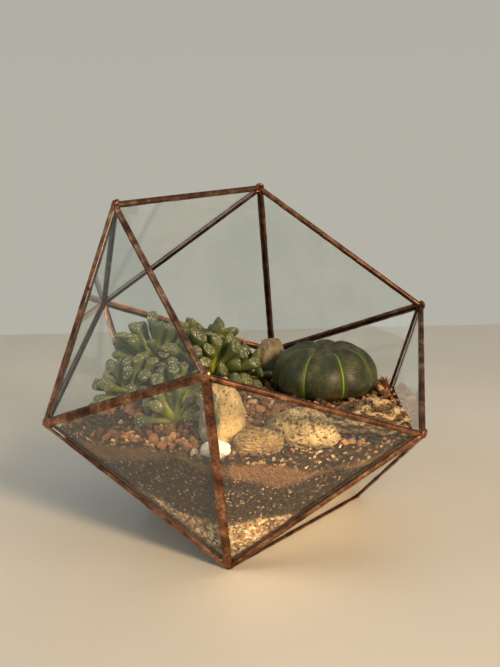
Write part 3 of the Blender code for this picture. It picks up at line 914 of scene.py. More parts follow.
grains = mineral_grains()
behind_glass = strew_behind_glass()
make_grains("grit_grains", behind_glass[GRIT], grains, 21)
make_grains("soil_crumbs", behind_glass[SOIL], grains, 22)
make_grains("sand_specks", behind_glass[SAND], grains, 23)
make_grains("mixed_grains", behind_glass[MIX], grains, 24)

# %% [markdown]
# The gravel on top is crushed burnt clay, red-brown and sharp, with tan and white bits. It lies
# thickest in a band behind the left front glass, thins out between the stones and leaves the
# bare patch free. No chip may lie inside a stone or inside another chip.

# %% Gravel on top
STONES = ("tall_stone", "white_pebble", "small_pitted_stone", "large_pitted_stone", "banded_stone",
          "back_pale_stone", "left_grey_pebble")
CELL = 8 * MM               # side of the squares in which neighbours are looked for
PACKING = 0.64              # least distance of two chips as a share of their sizes


def footprint(node):
    """Middle and mean half width of a node, seen from above."""
    low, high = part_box(node)
    return (low + high) / 2, (high.x - low.x + high.y - low.y) / 4


FOOTPRINTS = [footprint(node) for node in STONES + ("round_ribbed_plant",)]


def under_something(x, y, size):
    for middle, half_width in FOOTPRINTS:
        if math.hypot(x - middle.x, y - middle.y) < half_width * 0.92 + size:
            return True
    return False


def gravel_cover(x, y):
    """Share of the ground that chips cover at a place, from 0 to 1."""
    azimuth = math.degrees(math.atan2(y, x)) % 360
    band = hump(azimuth, 186, 30) * math.exp(-(max(room(Vector((x, y, SURFACE))), 0) / (26 * MM)) ** 2)
    patchy = 0.31 + 0.25 * ripple(Vector((x, y, 0)), 14, 9)
    at_front = hump(azimuth, 243, 24) * clamp((math.hypot(x, y) / WIDE - 0.55) * 5)
    return max(band, patchy) * (1 - bareness(x, y)) ** 2 * (1 - 0.8 * at_front)


def strew_on_ground(draw, wanted, sizes, shares, cover_power, taken):
    """Drop chips one by one and keep those that find room. Taken holds all chips so far by cell."""
    found = []
    for _ in range(wanted):
        size = (sizes[0] + (sizes[1] - sizes[0]) * draw.random() ** 1.5) * MM
        x, y = draw.uniform(-WIDE, WIDE), draw.uniform(-WIDE, WIDE)
        if draw.random() > gravel_cover(x, y) ** cover_power or under_something(x, y, size * 0.5):
            continue
        place = Vector((x, y, ground_height(x, y) + size * draw.uniform(0.1, 0.55)))
        if room(place) < size * 1.25:
            continue
        cell = (int(x // CELL), int(y // CELL))
        near = [other for dx in (-1, 0, 1) for dy in (-1, 0, 1)
                for other in taken.get((cell[0] + dx, cell[1] + dy), ())]
        if all((place - other).length > (size + reach) * PACKING for other, reach in near):
            taken.setdefault(cell, []).append((place, size))
            found.append((place, size, pick_tone(draw, shares)))
    return found


def make_gravel():
    """Large chips first, then bits in the gaps, then crumbs of soil all over."""
    draw = random.Random(31)
    taken = {}
    chip_shares = {"red": 0.56, "brown": 0.29, "tan": 0.14, "pale": 0.01}
    chips = strew_on_ground(draw, 16000, (1.7, 4.2), chip_shares, 1, taken)
    make_grains("gravel_chips", chips, grains, 32, chip=True)
    bit_shares = {"red": 0.25, "brown": 0.27, "tan": 0.15, "pale": 0.08, "crumb": 0.25}
    bits = strew_on_ground(draw, 22000, (0.6, 1.7), bit_shares, 0.6, taken)
    make_grains("gravel_bits", bits, grains, 33)
    crumbs = strew_on_ground(draw, 9000, (0.5, 1.5), {"crumb": 0.9, "brown": 0.1}, 0, taken)
    make_grains("ground_crumbs", crumbs, grains, 34)


make_gravel()
# %% [markdown]
# The stones are tufa and limestone picked for their holes and bands, with two smooth pebbles. Each
# starts as a fine ball, gets uneven sides and a few flats, and is then scaled and turned into the
# place that the model gives it. Holes and ridges are real dents in the mesh. They also go into
# attributes, so that the painted shade of a hole sits exactly in the hole.

# %% Stone material

def weathered_stone(name, colours, patch, grain, band_and_shade_colours, roughness=0.9):
    """Porous limestone: chalky and dull, with painted shade in its holes, grooves and cracks, and a second
    colour that is pale on bands and is painted shade on the tall stone's grey side.
    """
    material, shader, place = begin(name, roughness)
    shader.inputs["Specular IOR Level"].default_value = 0.3
    hole = add(material, "ShaderNodeAttribute", attribute_name="hole").outputs["Fac"]
    skin = add(material, "ShaderNodeAttribute", attribute_name="skin").outputs["Fac"]
    cloud = add(material, "ShaderNodeTexNoise", {"Vector": place, "Scale": per_metre(patch), "Detail": 6.0,
                                                 "Roughness": 0.65})
    fine = add(material, "ShaderNodeTexNoise", {"Vector": place, "Scale": per_metre(grain), "Detail": 5.0,
                                                "Roughness": 0.7})
    both = add(material, "ShaderNodeMix", {0: 0.45, 2: cloud.outputs["Fac"], 3: fine.outputs["Fac"]})
    body = add(material, "ShaderNodeValToRGB", {"Fac": both.outputs[0]}, stops=[
        (0.36, colours[0]), (0.5, colours[1]), (0.62, colours[2])])
    other = add(material, "ShaderNodeValToRGB", {"Fac": both.outputs[0]}, stops=[
        (0.38, band_and_shade_colours[0]), (0.6, band_and_shade_colours[1])])
    # The second colour is pale on the ledges of the banded stones. On the tall stone it is painted shade:
    # grey on the side away from the key light.
    with_bands_and_shade = add(material, "ShaderNodeMix", {"Factor": skin, 6: body.outputs["Color"],
                                              7: other.outputs["Color"]}, data_type="RGBA")
    # Holes, grooves and cracks are pulled towards dark brown: painted shade in the hollows.
    hole_shaded = add(material, "ShaderNodeMix", {"Factor": hole, 6: with_bands_and_shade.outputs[2], 7: "2B2119"},
                  data_type="RGBA")
    relief = add(material, "ShaderNodeBump", {"Height": fine.outputs["Fac"], "Strength": 0.7,
                                              "Distance": 0.35 * MM})
    wire(material, shader, Base_Color=hole_shaded.outputs[2], Normal=relief.outputs["Normal"])
    return material


# %% Stone shapes

def rough_ball(node, half_sizes, turn, subdivisions, taper, flats, seed):
    """An uneven ball with flats, in the place of a node. Flats are directions and depths."""
    ball = bmesh.new()
    bmesh.ops.create_icosphere(ball, subdivisions=subdivisions, radius=1)
    shift = Vector((seed * 3.7, seed * 1.9, seed * 5.3))
    for vert in ball.verts:
        swell = 0.13 * noise.noise(vert.co * 1.4 + shift) + 0.07 * noise.noise(vert.co * 3.1 + shift)
        vert.co *= 1 + swell
        for direction, depth in flats:
            over = vert.co.dot(direction) - depth
            vert.co -= direction * max(over, 0) * 0.8
        vert.co.x *= 1 - taper * vert.co.z
        vert.co.y *= 1 - taper * vert.co.z
    low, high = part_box(node)
    bmesh.ops.scale(ball, verts=ball.verts, vec=Vector(half_sizes) * MM)
    bmesh.ops.rotate(ball, verts=ball.verts, matrix=Matrix.Rotation(math.radians(turn), 3, "Z"))
    bmesh.ops.translate(ball, verts=ball.verts, vec=(low + high) / 2)
    ball.normal_update()
    ball.verts.layers.float.new("hole")
    ball.verts.layers.float.new("skin")
    return ball


def displace(ball, depth_at):
    """Move every vertex along its normal. depth_at gives metres, hole and skin for a vertex."""
    hole_layer = ball.verts.layers.float["hole"]
    skin_layer = ball.verts.layers.float["skin"]
    moves = []
    for vert in ball.verts:
        move, hole, skin = depth_at(vert.co, vert.normal)
        moves.append(vert.normal * move)
        vert[hole_layer] = max(vert[hole_layer], hole)
        vert[skin_layer] = max(vert[skin_layer], skin)
    for vert, move in zip(ball.verts, moves):
        vert.co += move
    ball.normal_update()


def pits(spacing, depth, share, seed, where=None):
    """Round holes of mixed sizes, more of them where the function called where is near 1."""
    def depth_at(point, normal):
        distances, cells = noise.voronoi(point / (spacing * MM) + Vector((seed, seed, seed)))
        luck = noise.noise(cells[0] * 5.7) * 0.5 + 0.5
        wanted = share * (where(point) if where else 1)
        if luck > 0.28 + 0.5 * wanted:
            return 0.0, 0.0, 0.0
        wide = 0.22 + 0.3 * luck
        hollow = clamp((wide - distances[0]) / (wide * 0.5))
        return -depth * MM * hollow, hollow * 0.9, 0.0
    return depth_at


def grain_relief(size, depth, seed):
    """A rough surface of two sizes of grain, without painted shade."""
    def depth_at(point, normal):
        return depth * MM * (ripple(point, size, seed) + 0.6 * ripple(point, size / 2.6, seed + 1)), 0.0, 0.0
    return depth_at


def ridges(spacing, height, wander, seed, skin_share=1.0, groove=0.18):
    """Wavy level ledges as in banded limestone: cream on the ledges, with painted shade in the grooves."""
    def depth_at(point, normal):
        bend = wander * ripple(Vector((point.x, point.y, point.z * 0.3)), 15, seed)
        bend += 0.3 * wander * ripple(point, 5, seed + 1)
        phase = ((point.z / MM + bend) / spacing) % 1
        ledge = 1 - abs(2 * phase - 1) ** 1.5
        pale = clamp((ledge - 0.45) * 3) * skin_share
        return height * MM * (ledge - 0.5), clamp((groove - ledge) * 4) * 0.75, pale
    return depth_at


def cracks(spacing, depth, width, seed):
    """Winding fissures along the lines where smooth noise passes through zero."""
    def depth_at(point, normal):
        flat = Vector((point.x, point.y, point.z * 2.5))
        line = abs(ripple(flat, spacing, seed) + 0.4 * ripple(flat, spacing / 2.3, seed + 1))
        hollow = clamp((width - line) / width)
        return -depth * MM * hollow, hollow, 0.0
    return depth_at


def painted_shade_side(direction, start, width, seed):
    """Painted shade: the second colour on the side that looks in this direction."""
    def depth_at(point, normal):
        facing = normal.dot(direction) + 0.2 * ripple(point, 4, seed)
        return 0.0, 0.0, clamp((facing - start) / width)
    return depth_at


# %% [markdown]
# The tall stone is tan on its open side and grey on the side that faces the leaves, and that grey is
# painted shade for the side turned from the key light. It has a group of holes near the top. The small
# stone is finely grooved. The large one is full of holes but for a worn cream patch, and the banded one
# is a stack of wavy ledges.

# %% The seven stones
SHADE_SIDE = Vector((-0.78, 0.62, 0.05)).normalized()


def near(middle, reach):
    """1 at a place, falling to 0 beyond its reach, with lengths in millimetres."""
    def share(point):
        return clamp(1.4 - (point / MM - Vector(middle)).length / reach)
    return share


def make_stone(node, ball, reliefs, material):
    """Carve a ball with each relief in turn and let it stand for its node."""
    for relief in reliefs:
        displace(ball, relief)
    finish_piece(f"{node}_skin", ball, material, [node])


def make_tall_stone():
    ball = rough_ball("tall_stone", (12.8, 11.6, 18.3), 30, 6, 0.28, [(SHADE_SIDE, 0.66)], 1.3)
    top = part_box("tall_stone")[1] / MM
    holes = near((top.x - 9, top.y - 13, top.z - 9), 11)
    # The grey second colour on this stone's side away from the key light is painted shade.
    reliefs = [painted_shade_side(SHADE_SIDE, 0.76, 0.1, 3), grain_relief(2.2, 0.14, 4),
               pits(2.1, 0.9, 1.0, 2, holes), pits(1.3, 0.4, 0.5, 7)]
    # The second colours 5F5E58 and 918F87 are the grey of the painted shade.
    stone = weathered_stone("tan_limestone", ("9C8056", "C6A97A", "DFC89E"), 6, 0.8, ("5F5E58", "918F87"))
    make_stone("tall_stone", ball, reliefs, stone)


def make_white_pebble():
    ball = rough_ball("white_pebble", (7, 4.8, 4.8), -51, 5, 0, [], 1.1)
    stone = weathered_stone("white_quartz_pebble", ("B9B6AF", "D6D3CC", "E8E6E0"), 5, 1.2,
                            ("A8A49B", "D0CCC2"), 0.55)
    make_stone("white_pebble", ball, [grain_relief(3, 0.05, 4)], stone)


def make_small_stone():
    ball = rough_ball("small_pitted_stone", (13, 7.8, 8.2), -38, 6, 0.12, [], 4.6)
    reliefs = [ridges(1.9, 0.4, 6.5, 5, 0.3, 0.36), cracks(4, 0.5, 0.1, 2), pits(2.2, 0.8, 0.5, 3),
               grain_relief(1.4, 0.12, 8)]
    stone = weathered_stone("grooved_tufa", ("5C4A30", "836C48", "A88F68"), 5, 0.8, ("866E4A", "B09870"))
    make_stone("small_pitted_stone", ball, reliefs, stone)


def make_large_stone():
    ball = rough_ball("large_pitted_stone", (18.8, 11.6, 11), -66, 6, 0.18, [], 7.4)
    box_low, box_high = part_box("large_pitted_stone")
    middle = (box_low + box_high) / 2 / MM
    worn = near((middle.x - 7, middle.y - 8, middle.z - 4), 5)

    def rough(point):
        return 1 - worn(point)

    reliefs = [grain_relief(7, 0.7, 9), pits(2.3, 1.4, 1.3, 5, rough), pits(1.4, 0.6, 1.1, 9, rough),
               cracks(6, 0.4, 0.06, 4), grain_relief(1.3, 0.12, 3)]
    stone = weathered_stone("pitted_tufa", ("7C6947", "AE966C", "D2C09A"), 7, 0.9, ("D4C095", "E6D9B8"))
    make_stone("large_pitted_stone", ball, reliefs, stone)


def make_banded_stone():
    ball = rough_ball("banded_stone", (20, 10.6, 9.3), -54, 6, 0.2, [], 2.8)
    reliefs = [ridges(4.6, 1.7, 6.5, 6, 0.9), ridges(1.3, 0.35, 5.0, 7, 0.3), cracks(5, 0.7, 0.14, 3),
               pits(2.2, 0.9, 0.6, 4), grain_relief(1.4, 0.14, 8)]
    stone = weathered_stone("banded_limestone", ("2E2118", "4E3926", "74593B"), 4, 0.9,
                            ("A58760", "DCC79C"))
    make_stone("banded_stone", ball, reliefs, stone)


def make_back_stone():
    flats = [(Vector((0, 0, 1)), 0.75), (Vector((-0.7, -0.7, 0.1)).normalized(), 0.7)]
    ball = rough_ball("back_pale_stone", (9, 8.5, 15.5), 10, 5, 0.08, flats, 5.1)
    stone = weathered_stone("pale_limestone", ("665C4A", "867B63", "A69B83"), 6, 1.0, ("756A54", "93876D"))
    make_stone("back_pale_stone", ball, [grain_relief(4, 0.4, 4), pits(2.2, 0.6, 0.3, 2)], stone)


def make_grey_pebble():
    ball = rough_ball("left_grey_pebble", (6.6, 6.2, 10.5), 0, 5, 0.05, [], 3.7)
    stone = weathered_stone("grey_river_pebble", ("6F6E66", "8F8E86", "B1AFA5"), 6, 1.0,
                            ("8F8E86", "B1AFA5"), 0.7)
    make_stone("left_grey_pebble", ball, [grain_relief(3, 0.08, 4)], stone)


make_tall_stone()
make_white_pebble()
make_small_stone()
make_large_stone()
make_banded_stone()
make_back_stone()
make_grey_pebble()
# %% [markdown]
# The round plant is one swollen stem with eight broad ribs. The furrows between them end in a small
# dip at the top. A fine ball is pressed into that shape: its rings give the height and its spokes
# give the ribs. A yellow-green line runs down each furrow, and faint cross stripes follow its rings.

# %% Round plant
RIBS = 8
FURROW_TURN = math.radians(10.9)
FURROW_DEPTH = 0.07         # this and the next depths and widths are shares of the radius
CREASE_DEPTH = 0.018
CREASE_WIDTH = 0.07
DIP_DEPTH = 0.2             # of the top, as a share of the height over the widest ring
DIP_WIDTH = 0.24
PINCH_DEPTH = 0.13          # of the furrows near the top
UPPER_FULLNESS = 0.78       # powers of the outline over and under the widest ring
LOWER_FULLNESS = 0.42
SCAB_PLACE = Vector((-0.62, -0.72, -0.42))
SCAB_REACH = 0.13
CROSS_STRIPES = 290.0       # phase of the stripes from top to foot, in radians
SPOKE_STRIPES = 60.0        # and from a furrow to the crown of a rib


def waxy_striped_skin():
    """Succulent skin: waxy and grey-green, with yellow-green seams and fine stripes across the ribs."""
    material, shader, place = begin("waxy_striped_skin", 0.5)
    rib = add(material, "ShaderNodeAttribute", attribute_name="rib").outputs["Fac"]
    ring = add(material, "ShaderNodeAttribute", attribute_name="ring").outputs["Fac"]
    cloud = add(material, "ShaderNodeTexNoise", {"Vector": place, "Scale": per_metre(9), "Detail": 6.0,
                                                 "Roughness": 0.65})
    fine = add(material, "ShaderNodeTexNoise", {"Vector": place, "Scale": per_metre(1.3), "Detail": 4.0})
    waver = add(material, "ShaderNodeMath", {0: cloud.outputs["Fac"], 1: 16.0}, operation="MULTIPLY")
    turns = add(material, "ShaderNodeMath", {0: ring, 1: CROSS_STRIPES}, operation="MULTIPLY")
    phase = add(material, "ShaderNodeMath", {0: turns.outputs[0], 1: waver.outputs[0]})
    stripe = add(material, "ShaderNodeMath", {0: phase.outputs[0]}, operation="SINE")
    spokes = add(material, "ShaderNodeMath", {0: rib, 1: SPOKE_STRIPES, 2: waver.outputs[0]},
                 operation="MULTIPLY_ADD")
    spoke = add(material, "ShaderNodeMath", {0: spokes.outputs[0]}, operation="SINE")
    weave = add(material, "ShaderNodeMath", {0: spoke.outputs[0], 1: 0.6, 2: stripe.outputs[0]},
                operation="MULTIPLY_ADD")
    stripe_share = add(material, "ShaderNodeMapRange", {"Value": weave.outputs[0], "From Min": -1.6,
                                                        "From Max": 1.6, "To Min": -0.075, "To Max": 0.075})
    uneven = add(material, "ShaderNodeMath", {0: cloud.outputs["Fac"], 1: stripe_share.outputs["Result"]})
    mottled = add(material, "ShaderNodeMath", {0: fine.outputs["Fac"], 1: 0.3, 2: uneven.outputs[0]},
                  operation="MULTIPLY_ADD")
    body = add(material, "ShaderNodeValToRGB", {"Fac": mottled.outputs[0]}, stops=[
        (0.5, "1D2510"), (0.6, "2C331A"), (0.7, "3F4125"), (0.82, "5B583B")])
    flank = add(material, "ShaderNodeValToRGB", {"Fac": rib}, stops=[(0.05, "48611F"), (0.4, "363E1F")])
    near_seam = add(material, "ShaderNodeMapRange", {"Value": rib, "From Min": 0.45, "From Max": 0.1,
                                                     "To Max": 0.6})
    greener = add(material, "ShaderNodeMix", {"Factor": near_seam.outputs["Result"], 6: body.outputs["Color"],
                                              7: flank.outputs["Color"]}, data_type="RGBA")
    seam = add(material, "ShaderNodeMapRange", {"Value": rib, "From Min": 0.075, "From Max": 0.02,
                                                "To Max": 0.85})
    lined = add(material, "ShaderNodeMix", {"Factor": seam.outputs["Result"], 6: greener.outputs[2],
                                            7: "9DB236"}, data_type="RGBA")
    scab = add(material, "ShaderNodeAttribute", attribute_name="scab").outputs["Fac"]
    corky = add(material, "ShaderNodeMix", {"Factor": scab, 6: lined.outputs[2], 7: "6B4A22"},
                data_type="RGBA")
    relief = add(material, "ShaderNodeBump", {"Height": mottled.outputs[0], "Strength": 0.3,
                                              "Distance": 0.4 * MM})
    wire(material, shader, Base_Color=corky.outputs[2], Normal=relief.outputs["Normal"])
    return material


def make_round_plant():
    """Press a fine ball into ribs and set it in the place of its node."""
    low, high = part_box("round_ribbed_plant")
    middle = (low + high) / 2
    radius = (high.x - low.x + high.y - low.y) / 4
    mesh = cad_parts["round_ribbed_plant"].data
    widest = max(mesh.vertices, key=lambda vert: (vert.co - middle).xy.length)
    middle.z = widest.co.z
    ball = bmesh.new()
    bmesh.ops.create_uvsphere(ball, u_segments=240, v_segments=100, radius=1)
    rib_layer = ball.verts.layers.float.new("rib")
    ring_layer = ball.verts.layers.float.new("ring")
    scab_layer = ball.verts.layers.float.new("scab")
    for vert in ball.verts:
        x, y, z = vert.co
        around = math.atan2(y, x)
        outward = math.hypot(x, y)
        rib = abs(math.sin((around - FURROW_TURN) * RIBS / 2))
        furrow = FURROW_DEPTH * (1 - rib) ** 1.6
        crease = CREASE_DEPTH * math.exp(-(rib / CREASE_WIDTH) ** 2)
        lobe = 0.035 * math.cos((around - 0.8) * 2) * outward + 0.02 * noise.noise(vert.co * 2.2)
        scab = clamp(1.6 - (vert.co - SCAB_PLACE).length / SCAB_REACH)
        dip = DIP_DEPTH * max(z, 0) * math.exp(-(outward / DIP_WIDTH) ** 2)
        pinch = PINCH_DEPTH * (1 - rib) ** 1.5 * math.exp(-((outward - 0.3) / 0.3) ** 2)
        power = UPPER_FULLNESS if z > 0 else LOWER_FULLNESS
        full = outward ** power * (1 - furrow - crease + lobe * 0.5) * radius
        vert[rib_layer] = rib
        vert[ring_layer] = math.acos(max(min(z, 1), -1)) / math.pi
        vert[scab_layer] = scab * (0.6 + 0.4 * ripple(vert.co * radius, 1.5, 2))
        vert.co.x = math.cos(around) * full
        vert.co.y = math.sin(around) * full
        vert.co.z = (z * (1 - pinch) - dip) * (high.z - middle.z if z > 0 else middle.z - low.z)
        vert.co += middle
    return finish_piece("round_plant", ball, waxy_striped_skin(), ["round_ribbed_plant"])


make_round_plant()

# %% [markdown]
# Each rosette is a bunch of club-shaped leaves on a short stem. A leaf has a slim yellow-green foot
# and a full blue-green head. The head ends in a slanted window face that is crowded with pale
# warts. One leaf is turned on the spin operator, then pressed oval, cut slantwise at the tip, bent and
# set into its place. The warts are part of the finish and keep to the face by an attribute.

# %% Leaf material
WART_SPACING = 1.25 * MM


def warty_leaf_skin():
    """Succulent leaf: smooth skin with a soft shine, and fine chalky warts on the head's face."""
    material, shader, place = begin("warty_leaf_skin", 0.42)
    shader.inputs["Subsurface Weight"].default_value = 0.12
    shader.inputs["Subsurface Radius"].default_value = (1.0, 1.0, 0.3)
    shader.inputs["Subsurface Scale"].default_value = 2 * MM
    along = add(material, "ShaderNodeAttribute", attribute_name="along").outputs["Fac"]
    face = add(material, "ShaderNodeAttribute", attribute_name="face").outputs["Fac"]
    blue = add(material, "ShaderNodeAttribute", attribute_name="blue").outputs["Fac"]
    cloud = add(material, "ShaderNodeTexNoise", {"Vector": place, "Scale": per_metre(5), "Detail": 4.0})
    waver = add(material, "ShaderNodeMath", {0: cloud.outputs["Fac"], 1: 0.35, 2: along},
                operation="MULTIPLY_ADD")
    young = add(material, "ShaderNodeValToRGB", {"Fac": waver.outputs[0]}, stops=[
        (0.25, "C6CA46"), (0.5, "A6AE38"), (0.75, "7C8436"), (1.0, "5E6736")])
    old = add(material, "ShaderNodeValToRGB", {"Fac": waver.outputs[0]}, stops=[
        (0.25, "B0B642"), (0.5, "7C8A38"), (0.75, "55643C"), (1.0, "43513E")])
    skin = add(material, "ShaderNodeMix", {"Factor": blue, 6: young.outputs["Color"],
                                           7: old.outputs["Color"]}, data_type="RGBA")
    window = add(material, "ShaderNodeMath", {0: face, 1: 0.3}, operation="MULTIPLY")
    windowed = add(material, "ShaderNodeMix", {"Factor": window.outputs[0], 6: skin.outputs[2], 7: "6A6C4C"},
                   data_type="RGBA")
    warts = add(material, "ShaderNodeTexVoronoi", {"Vector": place, "Scale": per_metre(WART_SPACING / MM)})
    dot = add(material, "ShaderNodeMapRange", {"Value": warts.outputs["Distance"], "From Min": 0.32,
                                               "From Max": 0.2})
    wart = add(material, "ShaderNodeMath", {0: dot.outputs["Result"], 1: face}, operation="MULTIPLY")
    warted = add(material, "ShaderNodeMix", {"Factor": wart.outputs[0], 6: windowed.outputs[2], 7: "E0DFBE"},
                 data_type="RGBA")
    relief = add(material, "ShaderNodeBump", {"Height": wart.outputs[0], "Strength": 0.5,
                                              "Distance": 0.3 * MM})
    wire(material, shader, Base_Color=warted.outputs[2], Normal=relief.outputs["Normal"])
    return material


# %% Leaf shape
HEAD_SHARE = 0.84           # how far along a leaf the middle of its head lies
LEAF_STEPS = 32
SLANTS = (20, 50)           # of the face, in degrees
CUT_PLACES = (0.25, 0.5)    # of the face beyond the middle of the head, as a share of its radius
OVALS = (0.78, 1.0)
PRESSED = 0.72              # share of the head beyond the face that is pressed away


def turned(profile, steps):
    """A closed shape turned about Z from a list of radius and height."""
    shape = bmesh.new()
    verts = [shape.verts.new((radius, 0, height)) for radius, height in profile]
    edges = [shape.edges.new(pair) for pair in zip(verts, verts[1:])]
    bmesh.ops.spin(
        shape, geom=verts + edges, cent=(0, 0, 0), axis=(0, 0, 1), dvec=(0, 0, 0),
        angle=math.tau, steps=steps, use_merge=True, use_duplicate=False)
    bmesh.ops.remove_doubles(shape, verts=shape.verts, dist=1e-7)
    bmesh.ops.recalc_face_normals(shape, faces=shape.faces)
    return shape


def club_radius(share):
    """Radius of a leaf at a share of its length, as a share of the head's radius."""
    foot = 0.43 + 0.15 * (1 - share) ** 3
    rise = clamp((share - 0.5) / 0.34)
    head = rise * rise * (3 - 2 * rise)
    tip = (1 - clamp((share - HEAD_SHARE) / (1 - HEAD_SHARE)) ** 2.6) ** 0.5
    return (foot + (1 - foot) * head) * tip


def club_profile():
    """Radius and height of a leaf of length and head radius 1, with close rings on the head."""
    neck = [0.04 * step for step in range(1, 14)]
    head = [0.56 + 0.44 * (1 - (1 - step / 24) ** 1.6) for step in range(24)]
    return [(0, 0)] + [(club_radius(share), share) for share in neck + head] + [(0, 1)]


def make_leaf(leaf, draw, foot, aim, outward, length, head_radius, bend, blue):
    """Shape a turned club into one leaf that grows from its foot along its aim."""
    along_layer, face_layer, blue_layer = (
        leaf.verts.layers.float.new(name) for name in ("along", "face", "blue"))
    slant = math.radians(draw.uniform(*SLANTS))
    cut_way = Vector((-math.sin(slant), 0, math.cos(slant)))
    cut_depth = HEAD_SHARE * length * math.cos(slant) + draw.uniform(*CUT_PLACES) * head_radius
    oval = draw.uniform(*OVALS)
    seed = Vector((draw.uniform(0, 99), 0, 0))
    for vert in leaf.verts:
        share = vert.co.z
        point = Vector((vert.co.x * head_radius, vert.co.y * head_radius * oval, share * length))
        point *= 1 + 0.06 * noise.noise(point * 150 + seed)
        over = point.dot(cut_way) - cut_depth
        if over > 0:
            point -= cut_way * over * PRESSED
        point.x += bend * share * share * length
        vert.co = point
        vert[along_layer] = share
        vert[face_layer] = clamp(over / (0.7 * MM) + 0.9) * clamp((share - 0.6) * 8)
        vert[blue_layer] = blue
    inward = (aim * outward.dot(aim) - outward).normalized()
    stand = Matrix((inward, aim.cross(inward), aim)).transposed().to_4x4()
    bmesh.ops.transform(leaf, verts=leaf.verts, matrix=Matrix.Translation(foot) @ stand)


# %% [markdown]
# Leaves stand in a spiral with the golden angle between one and the next, as on most rosettes. The
# inner ones stand up and the outer ones lean out, till the clump is one dome of heads. A leaf is
# left out where its head would meet another head, a stone, the ground or the glass.

# %% Leaf places
GOLDEN_TURN = math.pi * (3 - math.sqrt(5))
ROSETTES = sorted((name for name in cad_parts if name.startswith("rosette_")),
                  key=lambda name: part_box(name)[1].z)
HEAD_RADIUS = 3.75 * MM
LEAF_LENGTH = 25 * MM
TRIES = {name: 56 for name in ROSETTES}
TRIES["rosette_by_glass"] = 12
SIZES_OF = {"rosette_by_glass": 0.85, "rosette_back_left": 1.22, "rosette_middle": 1.28,
            "rosette_back_right": 1.2, "rosette_right": 0.95}
HEAD_SPACE = 1.07           # least distance of two heads as a share of their radii together
LIGHT_SIDE = Vector((-0.2, -0.5, 0.3))      # where the faces turn to, besides outward
PEBBLE = sum(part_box("left_grey_pebble"), Vector()) / 2
PEBBLE_VIEW = 60 * MM       # how far before the grey pebble no head may hide it
PEBBLE_MARGIN = 2.5 * MM


def crown_place(node):
    """Top of a rosette's stem, from the lowest vertices and the height of its node."""
    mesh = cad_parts[node].data
    low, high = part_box(node)
    feet = [vert.co for vert in mesh.vertices if vert.co.z < low.z + GAP]
    foot = sum(feet, Vector()) / len(feet)
    return Vector((foot.x, foot.y, max(high.z - LEAF_LENGTH, SURFACE + 2 * MM)))


CROWNS = {name: crown_place(name) for name in ROSETTES}
CLUMP_MIDDLE = sum(CROWNS.values(), Vector()) / len(CROWNS)


def hides_pebble(head, radius):
    """True where a head would stand before the upper half of the grey pebble."""
    towards = (VIEW_PLACE - PEBBLE).normalized()
    along = min(max((head - PEBBLE).dot(towards), 0), PEBBLE_VIEW)
    off = head - PEBBLE - towards * along
    return off.z > -2 * MM and off.length < radius + PEBBLE_MARGIN


def head_fits(head, radius, heads):
    """True where a head meets no other head, no stone, nor the ground or the glass."""
    if hides_pebble(head, radius):
        return False
    if room(head) < radius * 1.08 or head.z < ground_height(head.x, head.y) + radius * 0.95:
        return False
    for node in STONES + ("round_ribbed_plant",):
        low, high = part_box(node)
        middle = (low + high) / 2
        off = [(head[axis] - middle[axis]) / ((high[axis] - low[axis]) / 2 + radius * 0.85)
               for axis in range(3)]
        if sum(value * value for value in off) < 1:
            return False
    return all((head - other).length > (radius + other_radius) * HEAD_SPACE for other, other_radius in heads)


def place_leaves():
    """For each rosette a list of aim, length and head radius, all rosettes growing in step."""
    draw = random.Random(61)
    heads = []
    leaves = {name: [] for name in ROSETTES}
    for number in range(max(TRIES.values())):
        for order, node in enumerate(ROSETTES):
            if number >= TRIES[node]:
                continue
            size = SIZES_OF.get(node, 1)
            share = (number + 0.5) / TRIES[node]
            polar = math.acos(1 - 1.05 * share)
            azimuth = number * GOLDEN_TURN + order * 1.3
            aim = Vector((math.sin(polar) * math.cos(azimuth), math.sin(polar) * math.sin(azimuth),
                          math.cos(polar)))
            length = LEAF_LENGTH * size * draw.uniform(0.8, 1.15)
            radius = HEAD_RADIUS * size ** 0.5 * draw.uniform(0.84, 1.1)
            head = CROWNS[node] + aim * (length * HEAD_SHARE)
            if head_fits(head, radius, heads):
                heads.append((head, radius))
                leaves[node].append((aim, length, radius))
    print("leaves:", {name: len(found) for name, found in leaves.items()})
    return leaves


# %% Rosettes

def make_rosette(node, leaves, template, material, seed):
    """All leaves of one rosette and its stem, as one piece."""
    draw = random.Random(seed)
    crown = CROWNS[node]
    whole = bmesh.new()
    carrier = bpy.data.meshes.new("leaf")
    for aim, length, radius in leaves:
        outward = (crown + aim * length - CLUMP_MIDDLE).normalized() + LIGHT_SIDE
        leaf = bmesh.new()
        leaf.from_mesh(template)
        bend = draw.uniform(-0.08, 0.16)
        foot = crown - aim * 2 * MM
        make_leaf(leaf, draw, foot, aim, outward.normalized(), length + 2 * MM, radius, bend,
                  draw.random() ** 1.5)
        leaf.to_mesh(carrier)
        leaf.free()
        whole.from_mesh(carrier)
    bpy.data.meshes.remove(carrier)
    low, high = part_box(node)
    add_stem(whole, Vector((crown.x, crown.y, low.z)), crown.z)
    return finish_piece(node + "_leaves", whole, material, [node])


def add_stem(whole, foot, crown):
    """The short fleshy stem that the leaves sit on."""
    height = crown + 1.5 * MM - foot.z
    stem = turned([(0, 0), (3.2, 0), (2.7, 0.4), (3.0, 0.8), (2.4, 1), (0, 1.02)], 20)
    along_layer = stem.verts.layers.float.new("along")
    stem.verts.layers.float.new("face")
    stem.verts.layers.float.new("blue")
    for vert in stem.verts:
        vert[along_layer] = 0.1
        vert.co = Vector((vert.co.x * MM, vert.co.y * MM, vert.co.z * height)) + foot
    carrier = bpy.data.meshes.new("stem")
    stem.to_mesh(carrier)
    stem.free()
    whole.from_mesh(carrier)
    bpy.data.meshes.remove(carrier)


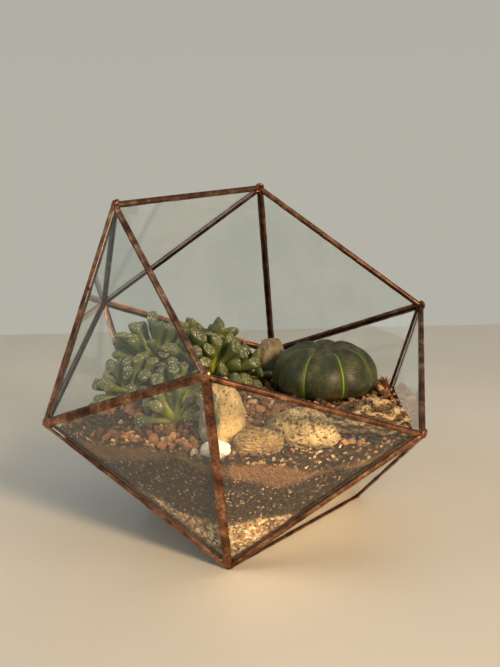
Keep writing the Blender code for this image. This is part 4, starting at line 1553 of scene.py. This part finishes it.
def make_template():
    club = turned(club_profile(), LEAF_STEPS)
    template = bpy.data.meshes.new("club")
    club.to_mesh(template)
    club.free()
    return template


leaf_skin = warty_leaf_skin()
club_template = make_template()
for seed, (node, leaves) in enumerate(place_leaves().items()):
    make_rosette(node, leaves, club_template, leaf_skin, seed)
bpy.data.meshes.remove(club_template)

# %% [markdown]
# A tuft of dry moss lies at the far right, against the glass. It is a heap of short tapering stalks
# that point every way.

# %% Dry moss
MOSS_PLACE = Vector((80, -44)) * MM
MOSS_STALKS = 260
MOSS_SPREAD = 5 * MM
LONG_EVERY = 40             # one stalk of this many is long


def dry_moss():
    """Dead moss: dull orange-brown stalks in patches of darker and lighter brown."""
    material, shader, place = begin("dry_moss_stalks", 0.9)
    cloud = add(material, "ShaderNodeTexNoise", {"Vector": place, "Scale": per_metre(2.5), "Detail": 3.0})
    tone = add(material, "ShaderNodeValToRGB", {"Fac": cloud.outputs["Fac"]},
               stops=[(0.35, "3A2414"), (0.55, "7A4A22"), (0.7, "A87038")])
    wire(material, shader, Base_Color=tone.outputs["Color"])
    return material


def make_moss():
    draw = random.Random(51)
    tuft = bmesh.new()
    for number in range(MOSS_STALKS):
        away = abs(draw.gauss(0, 1)) * MOSS_SPREAD
        around = draw.uniform(0, math.tau)
        x = MOSS_PLACE.x + away * math.cos(around)
        y = MOSS_PLACE.y + away * math.sin(around)
        length = draw.uniform(2.5, 5) * MM
        if number % LONG_EVERY == 0:
            length *= 2.2
        heap = draw.uniform(0, 3.5) * MM * math.exp(-away / (6 * MM))
        foot = Vector((x, y, ground_height(x, y) + heap))
        lean = Vector((draw.gauss(0, 0.6), draw.gauss(0, 0.6), 1)).normalized()
        if min(room(foot), room(foot + lean * length)) < 0.4 * MM:
            continue
        upright = lean.to_track_quat("Z", "X").to_matrix().to_4x4()
        stand = Matrix.Translation(foot + lean * length / 2) @ upright
        bmesh.ops.create_cone(tuft, cap_ends=True, segments=5, radius1=0.3 * MM, radius2=0.08 * MM,
                              depth=length, matrix=stand)
    return finish_piece("dry_moss_tuft", tuft, dry_moss())


make_moss()
